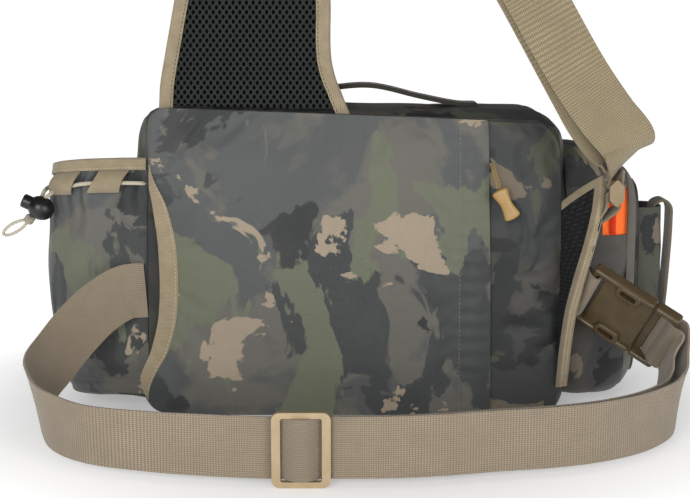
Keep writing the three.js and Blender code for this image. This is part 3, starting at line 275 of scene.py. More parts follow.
# %% Helpers for finishes
class Finish:
    """A material with its node tree, and short names for the nodes that the finishes share."""

    def __init__(self, name, roughness, sheen=0.0, specular=0.5):
        self.material = bpy.data.materials.new(name)
        self.material.use_nodes = True
        self.tree = self.material.node_tree
        self.shader = self.tree.nodes["Principled BSDF"]
        self.shader.inputs["Roughness"].default_value = roughness
        self.shader.inputs["Sheen Weight"].default_value = sheen
        self.shader.inputs["Specular IOR Level"].default_value = specular
        self.coordinates = self.tree.nodes.new("ShaderNodeTexCoord")

    def node(self, kind, inputs=None, **settings):
        node = self.tree.nodes.new(kind)
        for name, value in settings.items():
            setattr(node, name, value)
        for name, value in (inputs or {}).items():
            if isinstance(value, bpy.types.NodeSocket):
                self.tree.links.new(value, node.inputs[name])
            else:
                node.inputs[name].default_value = value
        return node

    def mapped(self, source, scale=(1, 1, 1), turn=(0, 0, 0), shift=(0, 0, 0)):
        inputs = {"Vector": self.coordinates.outputs[source]}
        inputs.update({"Scale": scale, "Rotation": turn, "Location": shift})
        return self.node("ShaderNodeMapping", inputs).outputs["Vector"]

    def grain(self, vector, scale, detail=2.0, roughness=0.5, distortion=0.0):
        inputs = {"Vector": vector, "Scale": scale, "Detail": detail}
        inputs.update({"Roughness": roughness, "Distortion": distortion})
        return self.node("ShaderNodeTexNoise", inputs).outputs["Fac"]

    def ribs(self, vector, pitch, direction):
        inputs = {"Vector": vector, "Scale": 0.314159 / pitch}
        settings = {"wave_type": "BANDS", "bands_direction": direction, "wave_profile": "SIN"}
        return self.node("ShaderNodeTexWave", inputs, **settings).outputs["Fac"]

    def math(self, operation, a, b):
        return self.node("ShaderNodeMath", {0: a, 1: b}, operation=operation).outputs[0]

    def between(self, value, low, high, start=0.0, end=1.0):
        inputs = {"Value": value, "From Min": low, "From Max": high, "To Min": start, "To Max": end}
        return self.node("ShaderNodeMapRange", inputs).outputs["Result"]

    def blend(self, share, first, second):
        node = self.node("ShaderNodeMix", data_type="RGBA", blend_type="MIX")
        for socket, value in ((node.inputs[0], share), (node.inputs[6], first), (node.inputs[7], second)):
            if isinstance(value, bpy.types.NodeSocket):
                self.tree.links.new(value, socket)
            elif isinstance(value, tuple):
                socket.default_value = (*value, 1.0)
            else:
                socket.default_value = value
        return node.outputs[2]

    def colour(self, socket):
        self.tree.links.new(socket, self.shader.inputs["Base Color"])

    def rough(self, socket):
        self.tree.links.new(socket, self.shader.inputs["Roughness"])

    def relief(self, height, depth):
        inputs = {"Height": height, "Distance": depth * MM, "Strength": 1.0}
        bump = self.node("ShaderNodeBump", inputs)
        self.tree.links.new(bump.outputs["Normal"], self.shader.inputs["Normal"])


def camouflage(name, shift, depth):
    """Printed twill. The shift picks a place in the print, the depth darkens all its colours; a low depth
    paints shade over the whole print.
    """
    finish = Finish(name, 0.52, sheen=0.03, specular=0.3)

    # Scales a paint by the depth: near one it is the cloth's own tone, lower it is painted shade.
    def darkened_by_depth(*paint):
        return tuple(c * depth for c in paint)

    warm_grey, charcoal, slate = (0.112, 0.106, 0.090), (0.030, 0.035, 0.037), (0.066, 0.072, 0.073)
    sage, tan, soot = (0.122, 0.134, 0.086), (0.330, 0.265, 0.188), (0.016, 0.019, 0.020)
    layers = [
        # paint, scale, cut, soft edge, stretch, seed
        (slate, 10, 0.50, 0.02, (1.0, 1.0, 0.9), 0.0),
        (charcoal, 12, 0.53, 0.006, (1.0, 1.0, 0.8), 5.3),
        (sage, 12, 0.565, 0.006, (1.35, 1.0, 0.65), 3.1),
        (soot, 14, 0.63, 0.006, (0.8, 1.0, 1.1), 7.7),
        (tan, 15, 0.635, 0.004, (0.9, 1.0, 1.0), 12.9),
    ]
    colour = darkened_by_depth(*warm_grey)
    for paint, scale, cut, soft, stretch, seed in layers:
        turn = (0, math.radians(24 + 11 * seed), 0)
        vector = finish.mapped("Object", stretch, turn, (shift + seed, seed * 0.7, shift - seed))
        patch = finish.grain(vector, scale, detail=5, roughness=0.55, distortion=0.5)
        colour = finish.blend(finish.between(patch, cut - soft, cut + soft), colour, darkened_by_depth(*paint))
    cloud = finish.grain(finish.mapped("Object"), 22, detail=3)
    colour = finish.blend(finish.between(cloud, 0.35, 0.7, 0.0, 0.16), colour, darkened_by_depth(0.12, 0.118, 0.11))
    thread = finish.ribs(finish.mapped("Object", turn=(0.3, 0.62, 0.2)), 0.0012, "X")
    speck = finish.grain(finish.mapped("Object"), 1300, detail=1)
    weave = finish.math("ADD", finish.math("MULTIPLY", thread, 0.6), finish.math("MULTIPLY", speck, 0.9))
    shade = finish.between(weave, 0.3, 1.2, 0.0, 0.12)
    finish.colour(finish.blend(shade, colour, darkened_by_depth(0.2, 0.195, 0.175)))
    finish.rough(finish.between(speck, 0.3, 0.7, 0.44, 0.6))
    finish.relief(weave, 0.16)
    return finish.material


CLOTH = camouflage("camouflage_cloth", 7.1, 0.93)
# The same print darkened as painted shade, for the gussets, the slot pocket, the right pocket's face and
# the tool sleeve.
SHADED_SIDE_CLOTH = camouflage("camouflage_side_cloth_painted_shade", 3.3, 0.45)
LEFT_CLOTH = camouflage("camouflage_left_cloth", 6.2, 0.9)
# The same print darkened as painted shade on the right pocket's wall.
SHADED_RIGHT_CLOTH = camouflage("camouflage_right_cloth_painted_shade", 5.5, 0.62)
# The same print darkened as painted shade in the hollow behind the panel's taped edge.
SHADED_LINING = camouflage("camouflage_lining_painted_shade", 4.7, 0.22)
print("finish", CLOTH.name, len(CLOTH.node_tree.nodes), "nodes")


# %% Woven and moulded finishes
def webbing(name, dark, light, pitch=0.0014):
    finish = Finish(name, 0.78, sheen=0.25, specular=0.3)
    thread = finish.mapped("UV")
    warp = finish.ribs(thread, pitch, "X")
    weft = finish.ribs(thread, pitch * 0.8, "Y")
    basket = finish.math("MULTIPLY", warp, weft)
    wear = finish.grain(finish.mapped("Object"), 60, detail=4)
    fuzz = finish.grain(finish.mapped("Object"), 2200, detail=1)
    body = finish.blend(finish.between(basket, 0.0, 0.75), dark, light)
    body = finish.blend(finish.between(wear, 0.35, 0.7, 0.0, 0.35), body, dark)
    finish.colour(finish.blend(finish.between(fuzz, 0.4, 0.75, 0.0, 0.25), body, light))
    finish.relief(finish.math("ADD", basket, finish.math("MULTIPLY", fuzz, 0.25)), 0.24)
    return finish.material


def grosgrain(name, dark, light):
    finish = Finish(name, 0.8, sheen=0.2, specular=0.3)
    rib = finish.ribs(finish.mapped("UV"), 0.0010, "Y")
    twill = finish.ribs(finish.mapped("UV", turn=(0, 0, 0.8)), 0.0013, "X")
    cloth = finish.math("ADD", finish.math("MULTIPLY", rib, 0.5), finish.math("MULTIPLY", twill, 0.5))
    wear = finish.grain(finish.mapped("Object"), 130, detail=4)
    fuzz = finish.grain(finish.mapped("Object"), 2400, detail=1)
    body = finish.blend(finish.between(cloth, 0.1, 0.9), dark, light)
    body = finish.blend(finish.between(fuzz, 0.35, 0.7, 0.0, 0.35), body, light)
    finish.colour(finish.blend(finish.between(wear, 0.35, 0.7, 0.0, 0.4), body, dark))
    finish.relief(cloth, 0.2)
    return finish.material


MESH_PITCH, MESH_SLANT = 0.00383, math.radians(35.5)


def spacer_mesh(name):
    """Knitted mesh with staggered holes, on the plane that the pad faces. The holes are painted near black
    as the shade inside them.
    """
    finish = Finish(name, 0.8, specular=0.06)
    slants = [(0, hand * MESH_SLANT, 0) for hand in (1, -1)]
    one, two = (finish.ribs(finish.mapped("Object", turn=slant), MESH_PITCH, "X") for slant in slants)
    hole = finish.math("MULTIPLY", one, two)
    yarn = finish.ribs(finish.mapped("Object"), 0.0008, "X")
    fuzz = finish.grain(finish.mapped("Object"), 1500, detail=2)
    painted_hole_shade = finish.between(hole, 0.17, 0.36)
    # Holes are painted near black: painted shade inside the mesh.
    body = finish.blend(painted_hole_shade, (0.021, 0.024, 0.023), (0.0005, 0.0006, 0.0006))
    knit = finish.math("MULTIPLY", yarn, fuzz)
    glint = finish.math("MULTIPLY", knit, finish.between(hole, 0.05, 0.25, 0.5, 0.0))
    finish.colour(finish.blend(glint, body, (0.070, 0.077, 0.073)))
    finish.relief(knit, 0.25)
    return finish.material


def tight_mesh(name):
    """Finer black mesh, with short pale yarns in rows."""
    finish = Finish(name, 0.7, sheen=0.03, specular=0.3)
    row = finish.ribs(finish.mapped("UV"), 0.0030, "Y")
    dash = finish.ribs(finish.mapped("UV", turn=(0, 0, 0.25)), 0.0042, "X")
    fuzz = finish.grain(finish.mapped("Object"), 1500, detail=2)
    yarn = finish.math("MULTIPLY", finish.between(row, 0.55, 0.95), finish.between(dash, 0.3, 0.7))
    bright = finish.math("MULTIPLY", yarn, finish.between(fuzz, 0.3, 0.7, 0.4, 1.0))
    finish.colour(finish.blend(bright, (0.006, 0.0065, 0.0063), (0.032, 0.035, 0.034)))
    finish.relief(finish.math("ADD", yarn, finish.math("MULTIPLY", row, 0.4)), 0.5)
    return finish.material


def moulded(name, base, worn, roughness):
    finish = Finish(name, roughness, specular=0.45)
    pebble = finish.grain(finish.mapped("Object"), 1800, detail=2)
    wear = finish.grain(finish.mapped("Object"), 90, detail=5)
    finish.colour(finish.blend(finish.between(wear, 0.42, 0.75, 0.0, 0.6), base, worn))
    finish.rough(finish.between(wear, 0.3, 0.7, roughness - 0.06, roughness + 0.1))
    finish.relief(pebble, 0.05)
    return finish.material


def braid(name, dark, light):
    finish = Finish(name, 0.75, sheen=0.2, specular=0.3)
    one = finish.ribs(finish.mapped("UV", turn=(0, 0, 0.7)), 0.0012, "X")
    two = finish.ribs(finish.mapped("UV", turn=(0, 0, -0.7)), 0.0012, "X")
    plait = finish.math("MULTIPLY", one, two)
    finish.colour(finish.blend(finish.between(plait, 0.0, 0.6), dark, light))
    finish.relief(plait, 0.25)
    return finish.material


BELT_WEB = webbing("belt_webbing", (0.174, 0.138, 0.096), (0.376, 0.306, 0.218))
STRAP_WEB = webbing("strap_webbing", (0.169, 0.135, 0.079), (0.364, 0.297, 0.182))
LOOP_WEB = webbing("loop_webbing", (0.110, 0.090, 0.056), (0.250, 0.210, 0.135))
PIPING = grosgrain("pocket_piping", (0.070, 0.064, 0.052), (0.150, 0.138, 0.112))
TAPE = grosgrain("binding_tape", (0.170, 0.135, 0.082), (0.380, 0.312, 0.205))
DARK_WEB = webbing("handle_webbing", (0.026, 0.022, 0.016), (0.060, 0.051, 0.037))
PAD_MESH = spacer_mesh("pad_spacer_mesh")
WING_MESH = tight_mesh("wing_spacer_mesh")
PLASTIC = moulded("coyote_plastic", (0.370, 0.276, 0.158), (0.450, 0.345, 0.210), 0.38)
RING_PLASTIC = moulded("ring_plastic", (0.215, 0.156, 0.083), (0.270, 0.202, 0.115), 0.4)
# The buckle's plastic is darker than the sliders' own plastic, and is darkened further as painted shade.
DARK_AND_SHADED_BUCKLE_PLASTIC = moulded("buckle_plastic_dark_and_shaded", (0.074, 0.050, 0.023), (0.112, 0.078, 0.038), 0.32)
LOCK_PLASTIC = moulded("black_plastic", (0.006, 0.006, 0.006), (0.016, 0.016, 0.016), 0.3)
CORD = braid("cream_cord", (0.360, 0.315, 0.230), (0.700, 0.640, 0.510))
PULL_CORD = braid("golden_cord", (0.200, 0.118, 0.034), (0.420, 0.265, 0.090))
THREAD = moulded("sewing_thread", (0.150, 0.135, 0.105), (0.230, 0.205, 0.160), 0.6)
PALE_THREAD = moulded("pale_thread", (0.420, 0.350, 0.245), (0.560, 0.480, 0.350), 0.6)
DARK_THREAD = moulded("dark_thread", (0.075, 0.060, 0.038), (0.120, 0.098, 0.064), 0.6)
PULL_PLASTIC = moulded("golden_plastic", (0.330, 0.205, 0.068), (0.450, 0.295, 0.110), 0.34)
GLOWING_ZIP_TAPE = grosgrain("zip_tape", (0.900, 0.130, 0.020), (1.000, 0.210, 0.035))
ZIP_TEETH = moulded("zip_teeth", (0.780, 0.055, 0.018), (0.880, 0.085, 0.030), 0.35)
# The zip tape glows faintly orange: painted light that brightens it in its shaded opening.
zip_glow_shader = GLOWING_ZIP_TAPE.node_tree.nodes["Principled BSDF"]
zip_glow_shader.inputs["Emission Color"].default_value = (1.0, 0.16, 0.02, 1)
zip_glow_shader.inputs["Emission Strength"].default_value = 0.22
print("finishes", len(bpy.data.materials))


# %% [markdown]
# ## Putting a piece on the frame
# Every finished piece gets its material, rides on the frame's one body, and says which plain solid it
# stands for, so that solid is hidden in the picture.

# %% Helper that dresses the frame
def dress(piece, material, slot, *nodes, angle=50):
    choose(piece)
    piece.data.materials.clear()
    piece.data.materials.append(material)
    bpy.ops.object.shade_smooth_by_angle(angle=math.radians(angle))
    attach(piece, "root")
    if nodes:
        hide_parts(*nodes)
    print(piece.name, len(piece.data.polygons), "faces")
    return piece


def heading(places, t):
    return (curve_point(places, t + 1e-4) - curve_point(places, t - 1e-4)).normalized()


def square_to(along, way):
    """The part of a direction that is square to another."""
    return (way - along * way.dot(along)).normalized()


BAND_COLUMNS = 6


def ribbon(name, run, per_span, width, thick):
    """Flat webbing along a run of places with their directions across. Its width can change."""
    places, directions = zip(*run)
    count = (len(run) - 1) * per_span

    def place(u, v):
        t = round(v * count) / count
        across = square_to(heading(places, t), curve_point(directions, t))
        wide = width(v) if callable(width) else width
        return curve_point(places, t) + across * ((u - 0.5) * wide)

    piece = lay(name, BAND_COLUMNS, count, place)
    wall(piece, thick, 0.0)
    return piece


CORD_SIDES = 12


def tube(name, places, diameter, per_span):
    """Round cord through places, closed at both ends, and its middle line in the frame."""
    count = (len(places) - 1) * per_span
    frames = []
    side = Vector((0.3, 0.5, 0.8))
    for i in range(count + 1):
        along = heading(places, i / count)
        side = square_to(along, side)
        frames.append((curve_point(places, i / count), side, along.cross(side)))

    def place(u, v):
        at, one, two = frames[round(v * count)]
        turn = 2 * math.pi * u
        return at + (one * math.cos(turn) + two * math.sin(turn)) * (diameter / 2)

    piece = lay(name, CORD_SIDES, count, place, closed=True)
    edit(piece, fill_ends, face_outward)
    return piece, [in_frame(at) for at, _, _ in frames]


print("piece helpers ready")

# %% [markdown]
# ## The cord's loose tail
# The drawcord of the open pocket leaves its lock as a small loop of cream cord. A cord keeps its length, so
# it is swept along the route that the photograph shows.

# %% Cord tail
LOCK_AT = Vector((-230, 15, 153))
LOCK_RADIUS = 8
KNOT_AT = LOCK_AT + Vector((-0.62, 0.05, -0.78)).normalized() * (LOCK_RADIUS + 3.6)
DRAWCORD = 3.0
TAIL_ALONG, TAIL_ASIDE = Vector((-0.868, 0.01, -0.497)), Vector((-0.497, -0.12, 0.86))
TAIL = [(2.6, 0.9), (5, 2), (9, 3.0), (14, 3.3), (18.6, 2.7), (21.6, 1.3), (22.3, 0)]
TAIL += [(along, -aside) for along, aside in reversed(TAIL[:-1])]
tail_route = [KNOT_AT + TAIL_ALONG * along + TAIL_ASIDE * aside for along, aside in TAIL]
TAIL_CORD = 2.2
cord_tail, tail_path = tube("drawcord_tail", tail_route, TAIL_CORD, 4)
dress(cord_tail, CORD, "cord", "cord_tail")

# %% [markdown]
# ## The body's gussets
# The body is a rounded box of laminated cloth: one long strip runs over the top, another under the
# base, and they meet in a seam on each side. Each strip is cut as one grid, laid round the outline,
# and let settle with a little slack, so that it creases softly between its sewn edges.

# %% Outline of the body
BODY = [
    # depth, left, right, foot, top, tilt, base, round left, round right, heel, bow
    (0, 147, 147, 150, 222, -0.034, 2.6, 13, 16, 12, 0),
    (6, 150, 149, 153, 223.8, -0.025, 0.7, 16, 20, 13, 2),
    (20, 155, 152, 157, 224.8, -0.012, 0, 24, 25, 15, 4),
    (57, 160, 154, 158, 225, -0.008, 0, 32, 28, 17, 6),
    (94, 154, 151, 155, 223, -0.008, 0, 26, 26, 15, 4),
    (108, 149, 148, 152, 220.4, -0.008, 0.7, 18, 22, 13, 2),
    (BODY_DEPTH, 146, 146, 149, 218, -0.008, 2.6, 16, 18, 12, 0),
]


def outline_point(corners, bow, s):
    """Place on a rounded outline: s counts base, corner, right side, corner, top, and so on."""
    s = s % 8
    stretch = int(s)
    t = s - stretch

    def ends(k):
        x, z, radius = corners[k]

        def towards(other):
            dx, dz = other[0] - x, other[1] - z
            size = math.hypot(dx, dz)
            return x + dx * radius / size, z + dz * radius / size

        return towards(corners[(k + 3) % 4]), towards(corners[(k + 1) % 4])

    if stretch % 2:
        k = (stretch - 1) // 2
        (x, z, _), (start, end) = corners[k], ends(k)
        a, b = 1 - math.sin(t * math.pi / 2), 1 - math.cos(t * math.pi / 2)
        return x + (start[0] - x) * a + (end[0] - x) * b, z + (start[1] - z) * a + (end[1] - z) * b
    start, end = ends((stretch // 2 + 3) % 4)[1], ends(stretch // 2)[0]
    swell = math.sin(math.pi * t) * bow * {2: 1, 6: -1}.get(stretch, 0)
    return mix(start[0], end[0], t) + swell, mix(start[1], end[1], t)


def body_point(y, s):
    _, left, right, foot, top, tilt, base, round_left, round_right, heel, bow = read_row(BODY, y)
    base = max(base, 0)
    corners = [
        (foot, base, heel),
        (right, top + tilt * right, round_right),
        (-left, top - tilt * left, round_left),
        (-foot, base, heel),
    ]
    return outline_point(corners, bow, s)


def side_at(hand, y, z):
    """Distance of the body's side from its middle, at a depth and height."""
    low, high = (2, 3) if hand > 0 else (7, 6)
    foot, top = body_point(y, low), body_point(y, high - 1e-9)
    t = clamp((z - foot[1]) / (top[1] - foot[1]))
    return abs(body_point(y, mix(low, high, t) - (1e-9 if t == 1 else 0))[0])


def top_at(x, y):
    row = read_row(BODY, y)
    return row[4] + row[5] * x


def even(point, start, end, count=160):
    """Turns a share of a line's length into the line's own measure."""
    stops = [mix(start, end, i / count) for i in range(count + 1)]
    spots = [Vector(point(stop)) for stop in stops]
    runs = [0.0]
    for a, b in zip(spots, spots[1:]):
        runs.append(runs[-1] + (b - a).length)

    def at(share):
        want = clamp(share) * runs[-1]
        i = next((k for k in range(count) if runs[k + 1] >= want), count - 1)
        span = runs[i + 1] - runs[i]
        return mix(stops[i], stops[i + 1], (want - runs[i]) / span if span else 0.0)

    return at


def lay_even(name, across, along, place):
    """Lays a cut with rows of even height up its middle."""
    stop = even(lambda v: place(0.5, v), 0, 1)
    return lay(name, across, along, lambda u, v: place(u, stop(v)))


def chord(point, u, v):
    """Place inside a rounded outline: v climbs its two sides, u crosses from one to the other."""
    s = mix(1 + 1e-6, 4 - 1e-6, v)
    one, two = point(s), point(9 - s)
    return mix(two[0], one[0], u), mix(two[1], one[1], u)


CLOTH_THICK = 2.0


def sew(piece, material, node):
    """Smooths a settled cut, gives it the cloth's thickness and dresses it."""
    refine(piece)
    wall(piece, CLOTH_THICK)
    return dress(piece, material, "cloth", node)


print("top of the body", round(top_at(0, BODY_DEPTH / 2), 1), "mm")

# %% Gussets
RIGHT_SEAM, LEFT_SEAM = 2.45, 6.55
GUSSET_PUCKERS = 42


def gusset(name, start, end, depth_of, node):
    stop = even(lambda s: (*body_point(BODY_DEPTH / 2, s), 0), start, end)

    def place(u, v):
        y = BODY_DEPTH * (1 - v)
        x, z = body_point(y, stop(u))
        edge = math.exp(-((min(v, 1 - v) - 0.09) / 0.06) ** 2)
        wave = math.sin(2 * math.pi * u * GUSSET_PUCKERS + 4 * ripple(x, 0, z, 30))
        pucker = depth_of * 0.55 * wave * edge
        crease = depth_of * 0.8 * ripple(x * 0.6, y, z, 22) * rim(v, 3)
        groove = 1.5 * math.exp(-(((1 - v) / 0.022) ** 2))
        inward = (Vector((0, y, 112)) - Vector((x, y, z))).normalized()
        return Vector((x, y, z)) + inward * (0.5 * depth_of * rim(v, 4) + groove - pucker - crease)

    piece = lay(name, 110, 36, place)
    print(name, "settled by", settle(piece, 0.6, 0.02, depth_of), "mm")
    sew(piece, SHADED_SIDE_CLOTH, node)


gusset("base_strip", LEFT_SEAM - 8, RIGHT_SEAM, 0.6, "base_gusset")
gusset("top_strip", RIGHT_SEAM, LEFT_SEAM, 1.6, "top_gusset")

# %% [markdown]
# ## The far side
# The side away from the wearer is one plain swelled panel. The photograph doesn't show it, so it
# has no pocket, only a soft crown and the creases that the settling gives.

# %% Far panel
PANEL_SEAT = CLOTH_THICK + 0.35
FAR_CROWN = 12


def far_face(u, v):
    share = 1 - u
    x, z = chord(lambda s: body_point(BODY_DEPTH, s), share, v)
    rise = math.sin(math.pi * v) * math.sin(math.pi * share)
    return Vector((x, BODY_DEPTH + PANEL_SEAT + FAR_CROWN * math.sqrt(max(rise, 0)), z))


far_panel = lay_even("far_panel", 80, 60, far_face)
settle(far_panel, 0.8, 0.015, 4)
sew(far_panel, CLOTH, "front_panel")

# %% Inner back
def inner_back_place(u, v):
    x, z = chord(lambda s: body_point(0, s), u, v)
    crease = 0.8 * (0.5 + 0.5 * ripple(x, 0, z, 26)) * rim(u, 8) * rim(v, 8)
    return Vector((x, -PANEL_SEAT - crease, z))


inner_back = lay_even("inner_back_cloth", 70, 50, inner_back_place)
wall(inner_back, CLOTH_THICK)
dress(inner_back, SHADED_LINING, "lining", "inner_back")

# %% [markdown]
# ## The wearer's side
# This is the panel that the photograph faces: a lightly padded sheet with a hollowed left edge, and
# a placket on the right that covers a slot pocket. Padding is what cloth simulation is good at: the
# grid is sewn down at its edges and along the placket's stitch line, and a little air pushes it out.

# %% Panel and slot pocket
PANEL = [
    # height, tilt, left edge, outer edge of the tape, right edge
    (1.6, 0, -136, -136.2, 98),
    (7, 0, -147, -147.3, 99.5),
    (17, 0, -151, -154.5, 100),
    (32, 0, -146, -154.5, 100),
    (50, 0, -136, -147, 99.5),
    (79, 0, -129, -140.5, 99),
    (124, 0, -128.5, -140, 98),
    (155, -0.006, -135, -143.5, 97),
    (178, -0.012, -145, -147, 96.5),
    (205, -0.026, -146.5, -146.8, 96),
    (217, -0.033, -144, -144.3, 95.5),
    (221.6, -0.036, -137, -137.3, 95),
]
SLOT_POCKET = [
    (1.6, 0, 88, 141),
    (7, 0, 88, 148),
    (30, 0, 88, 150.4),
    (120, 0, 88, 150),
    (190, -0.01, 88, 147.5),
    (208, -0.02, 88, 144.5),
    (220, -0.034, 88, 135),
]
PANEL_EDGE, PANEL_SWELL, PLACKET_LIFT = 5.4, 8.0, 10.4
PLACKET_STITCH = (74.6, 78.2)


def panel_place(u, v):
    z = mix(PANEL[0][0], PANEL[-1][0], v)
    _, tilt, left, _, right = read_row(PANEL, z)
    x = mix(left, right, u)
    base = mix(PANEL_EDGE, PLACKET_LIFT, clamp((u - 0.8) / 0.14))
    face = base + PANEL_SWELL * rim(v, 2.6) * rim(u * 0.9, 2.4)
    dip = 1.1 * math.exp(-(((x - 76.4) / 3.2) ** 2)) + 2.6 * clamp((x - 80) / 18) ** 1.5
    wave = math.sin(2 * math.pi * z / 11 + 3 * ripple(0, 0, z, 30))
    pucker = 0.5 * wave * math.exp(-(((x - 82) / 9) ** 2))
    return Vector((x, -face + dip + pucker, z + tilt * x))


def on_placket_stitch(vertex):
    return PLACKET_STITCH[0] * MM < vertex.co.x < PLACKET_STITCH[1] * MM


panel = lay("wearer_panel", 96, 84, panel_place)
print("panel settled by", settle(panel, 1.2, 0.012, 3, on_placket_stitch), "mm")
sew(panel, CLOTH, "back_panel")


def pocket_place(u, v):
    z = mix(SLOT_POCKET[0][0], SLOT_POCKET[-1][0], v)
    _, tilt, left, right = read_row(SLOT_POCKET, z)
    x = mix(left, right, u)
    swell = 5.6 * math.sin(math.pi * u**1.7) ** 1.3 * rim(v, 6)
    crease = 1.4 * ripple(x * 0.6, 0, z * 0.7, 19) * rim(v, 4) * rim(u, 2)
    return Vector((x, -mix(5.2, 3.6, u) - swell - crease, z + tilt * x))


slot_pocket = lay("slot_pocket", 30, 84, pocket_place)
settle(slot_pocket, 0.8, 0.02, 2)
sew(slot_pocket, SHADED_SIDE_CLOTH, "back_pocket")

# %% [markdown]
# ## Tape, and a row of stitches
# A woven tape binds the hollowed edge of the panel. Stitches are what make cloth look sewn: one
# stitch is modelled as a small bevelled block, and copies of it are set along a line on the surface.

# %% Edge tape
def edge_tape_place(u, v):
    z = mix(14, 184, v)
    _, tilt, left, tape, _ = read_row(PANEL, z)
    inner = left + 1.2
    taper = math.sqrt(clamp(min(v, 1 - v) / 0.09))
    outer = inner - max(inner - tape, 1.6) * taper - 0.4
    x = mix(outer, inner, u)
    roll = 0.7 * math.sin(math.pi * u)
    return Vector((x, -PANEL_EDGE - 0.75 - roll, z + tilt * x))


EDGE_TAPE_THICK = 1.6
edge_tape = lay("panel_edge_tape", 8, 120, edge_tape_place)
wall(edge_tape, EDGE_TAPE_THICK)
dress(edge_tape, TAPE, "webbing", "back_edge_binding")


# %% Stitch rows
def block(sizes, middle=(0, 0, 0)):
    """Box of the given sizes round its middle, in millimetres."""
    deselect()
    bpy.ops.mesh.primitive_cube_add(size=1)
    bpy.ops.transform.resize(value=[size * MM for size in sizes])
    bpy.ops.transform.translate(value=[at * MM for at in middle])
    bpy.ops.object.transform_apply()
    return bpy.context.object


def stitch_row(name, points, normals, pitch=3.4, long=2.3, wide=0.55, high=0.34, thread=THREAD):
    """Small stitches along a line of points in the frame, each lying on its normal."""
    one = block((long, wide, high))
    apply_modifier(one, "BEVEL", width=high * MM * 0.45, segments=1)
    shape = [v.co.copy() for v in one.data.vertices]
    faces = [tuple(p.vertices) for p in one.data.polygons]
    bpy.data.objects.remove(one)
    runs = [0.0]
    for a, b in zip(points, points[1:]):
        runs.append(runs[-1] + (b - a).length)
    places, polygons = [], []
    at = pitch * MM / 2
    i = 0
    while at < runs[-1] - long * MM / 2:
        while runs[i + 1] < at:
            i += 1
        share = (at - runs[i]) / (runs[i + 1] - runs[i])
        along = (points[i + 1] - points[i]).normalized()
        out = (normals[i] - along * normals[i].dot(along)).normalized()
        side = out.cross(along)
        middle = points[i].lerp(points[i + 1], share) + out * (high * MM * 0.3)
        first = len(places)
        places += [middle + along * c.x + side * c.y + out * c.z for c in shape]
        polygons += [tuple(first + k for k in face) for face in faces]
        at += pitch * MM
    mesh = bpy.data.meshes.new(name)
    mesh.from_pydata(places, [], polygons)
    piece = bpy.data.objects.new(name, mesh)
    bpy.context.collection.objects.link(piece)
    return dress(piece, thread, "webbing")


CAST_FROM = 0.2


def cast(surface, places, direction):
    """Points and normals where lines from places, in millimetres, meet a piece."""
    points, normals = [], []
    way = Vector(direction)
    for place in places:
        hit, point, normal, _ = surface.ray_cast(in_frame(place) - way * CAST_FROM, way)
        if hit:
            points.append(point)
            normals.append(normal)
    return points, normals


bpy.context.view_layer.update()
placket_line = [(mix(76.9, 75.6, i / 60), 0, mix(4, 217, i / 60)) for i in range(61)]
stitch_row("placket_stitches", *cast(panel, placket_line, (0, 1, 0)))
tape_line = [edge_tape_place(0.86, i / 80) for i in range(3, 78)]
tape_seam = cast(edge_tape, tape_line, (0, 1, 0))
stitch_row("edge_tape_stitches", *tape_seam, pitch=3.0, long=2.0, thread=PALE_THREAD)

# %% [markdown]
# ## Moulded plates
# Sliders and ring are injection moulded: flat outlines with a thickness, slots for the webbing, and
# every edge rounded. The outline is a filled circle whose points are moved to their places, then
# extruded. Slots are cut by a boolean, and a bevel modifier rounds what is sharp. The zip pull is
# rounder, so it is laid as a closed grid.

# %% Helpers for moulded pieces
def plate(name, outline, thick):
    """Flat plate from an outline in millimetres, its middle plane on Z = 0."""
    deselect()
    bpy.ops.mesh.primitive_circle_add(vertices=len(outline), fill_type="NGON")
    piece = bpy.context.object
    piece.name = name
    for vertex, (x, y) in zip(piece.data.vertices, outline):
        vertex.co = Vector((x, y, -thick / 2)) * MM
    rise = {"value": (0, 0, thick * MM)}
    edit(piece, lambda: bpy.ops.mesh.extrude_region_move(TRANSFORM_OT_translate=rise))
    edit(piece, face_outward)
    return piece


def combine(piece, other, operation):
    apply_modifier(piece, "BOOLEAN", object=other, operation=operation, solver="EXACT")
    bpy.data.objects.remove(other)


CUT_DEPTH = 50


def cut_slot(piece, x, y, width, height, corner):
    """Slot right through a plate, with rounded corners."""
    cutter = block((width, height, CUT_DEPTH), (x, y, 0))
    bpy.ops.object.mode_set(mode="EDIT")
    bpy.ops.mesh.select_mode(type="EDGE")
    bpy.ops.mesh.select_all(action="DESELECT")
    bpy.ops.object.mode_set(mode="OBJECT")
    for edge in cutter.data.edges:
        a, b = (cutter.data.vertices[k].co for k in edge.vertices)
        edge.select = abs(a.z - b.z) > 0.01
    bpy.ops.object.mode_set(mode="EDIT")
    bpy.ops.mesh.bevel(offset=corner * MM, segments=4)
    bpy.ops.object.mode_set(mode="OBJECT")
    combine(piece, cutter, "DIFFERENCE")


def round_edges(piece, width, segments=3, angle=32):
    settings = {"width": width * MM, "segments": segments, "limit_method": "ANGLE"}
    apply_modifier(piece, "BEVEL", angle_limit=math.radians(angle), harden_normals=False, **settings)


def rounded_box(width, height, radius, steps=6):
    points = []
    for k, (sx, sy) in enumerate([(1, 1), (-1, 1), (-1, -1), (1, -1)]):
        for i in range(steps + 1):
            turn = math.pi / 2 * (k + i / steps)
            x = sx * (width / 2 - radius) + radius * math.cos(turn)
            points.append((x, sy * (height / 2 - radius) + radius * math.sin(turn)))
    return points


def shift(piece, *by):
    choose(piece)
    bpy.ops.transform.translate(value=[step * MM for step in by])
    bpy.ops.object.transform_apply()


def put(piece, at, along, across):
    """Moves a plate modelled flat on X and Y to its place on the bag."""
    out = along.cross(across)
    turn = Matrix((along, across, out)).transposed().to_4x4()
    choose(piece)
    piece.matrix_world = Matrix.Translation(in_frame(at)) @ turn
    bpy.ops.object.transform_apply()
    return piece


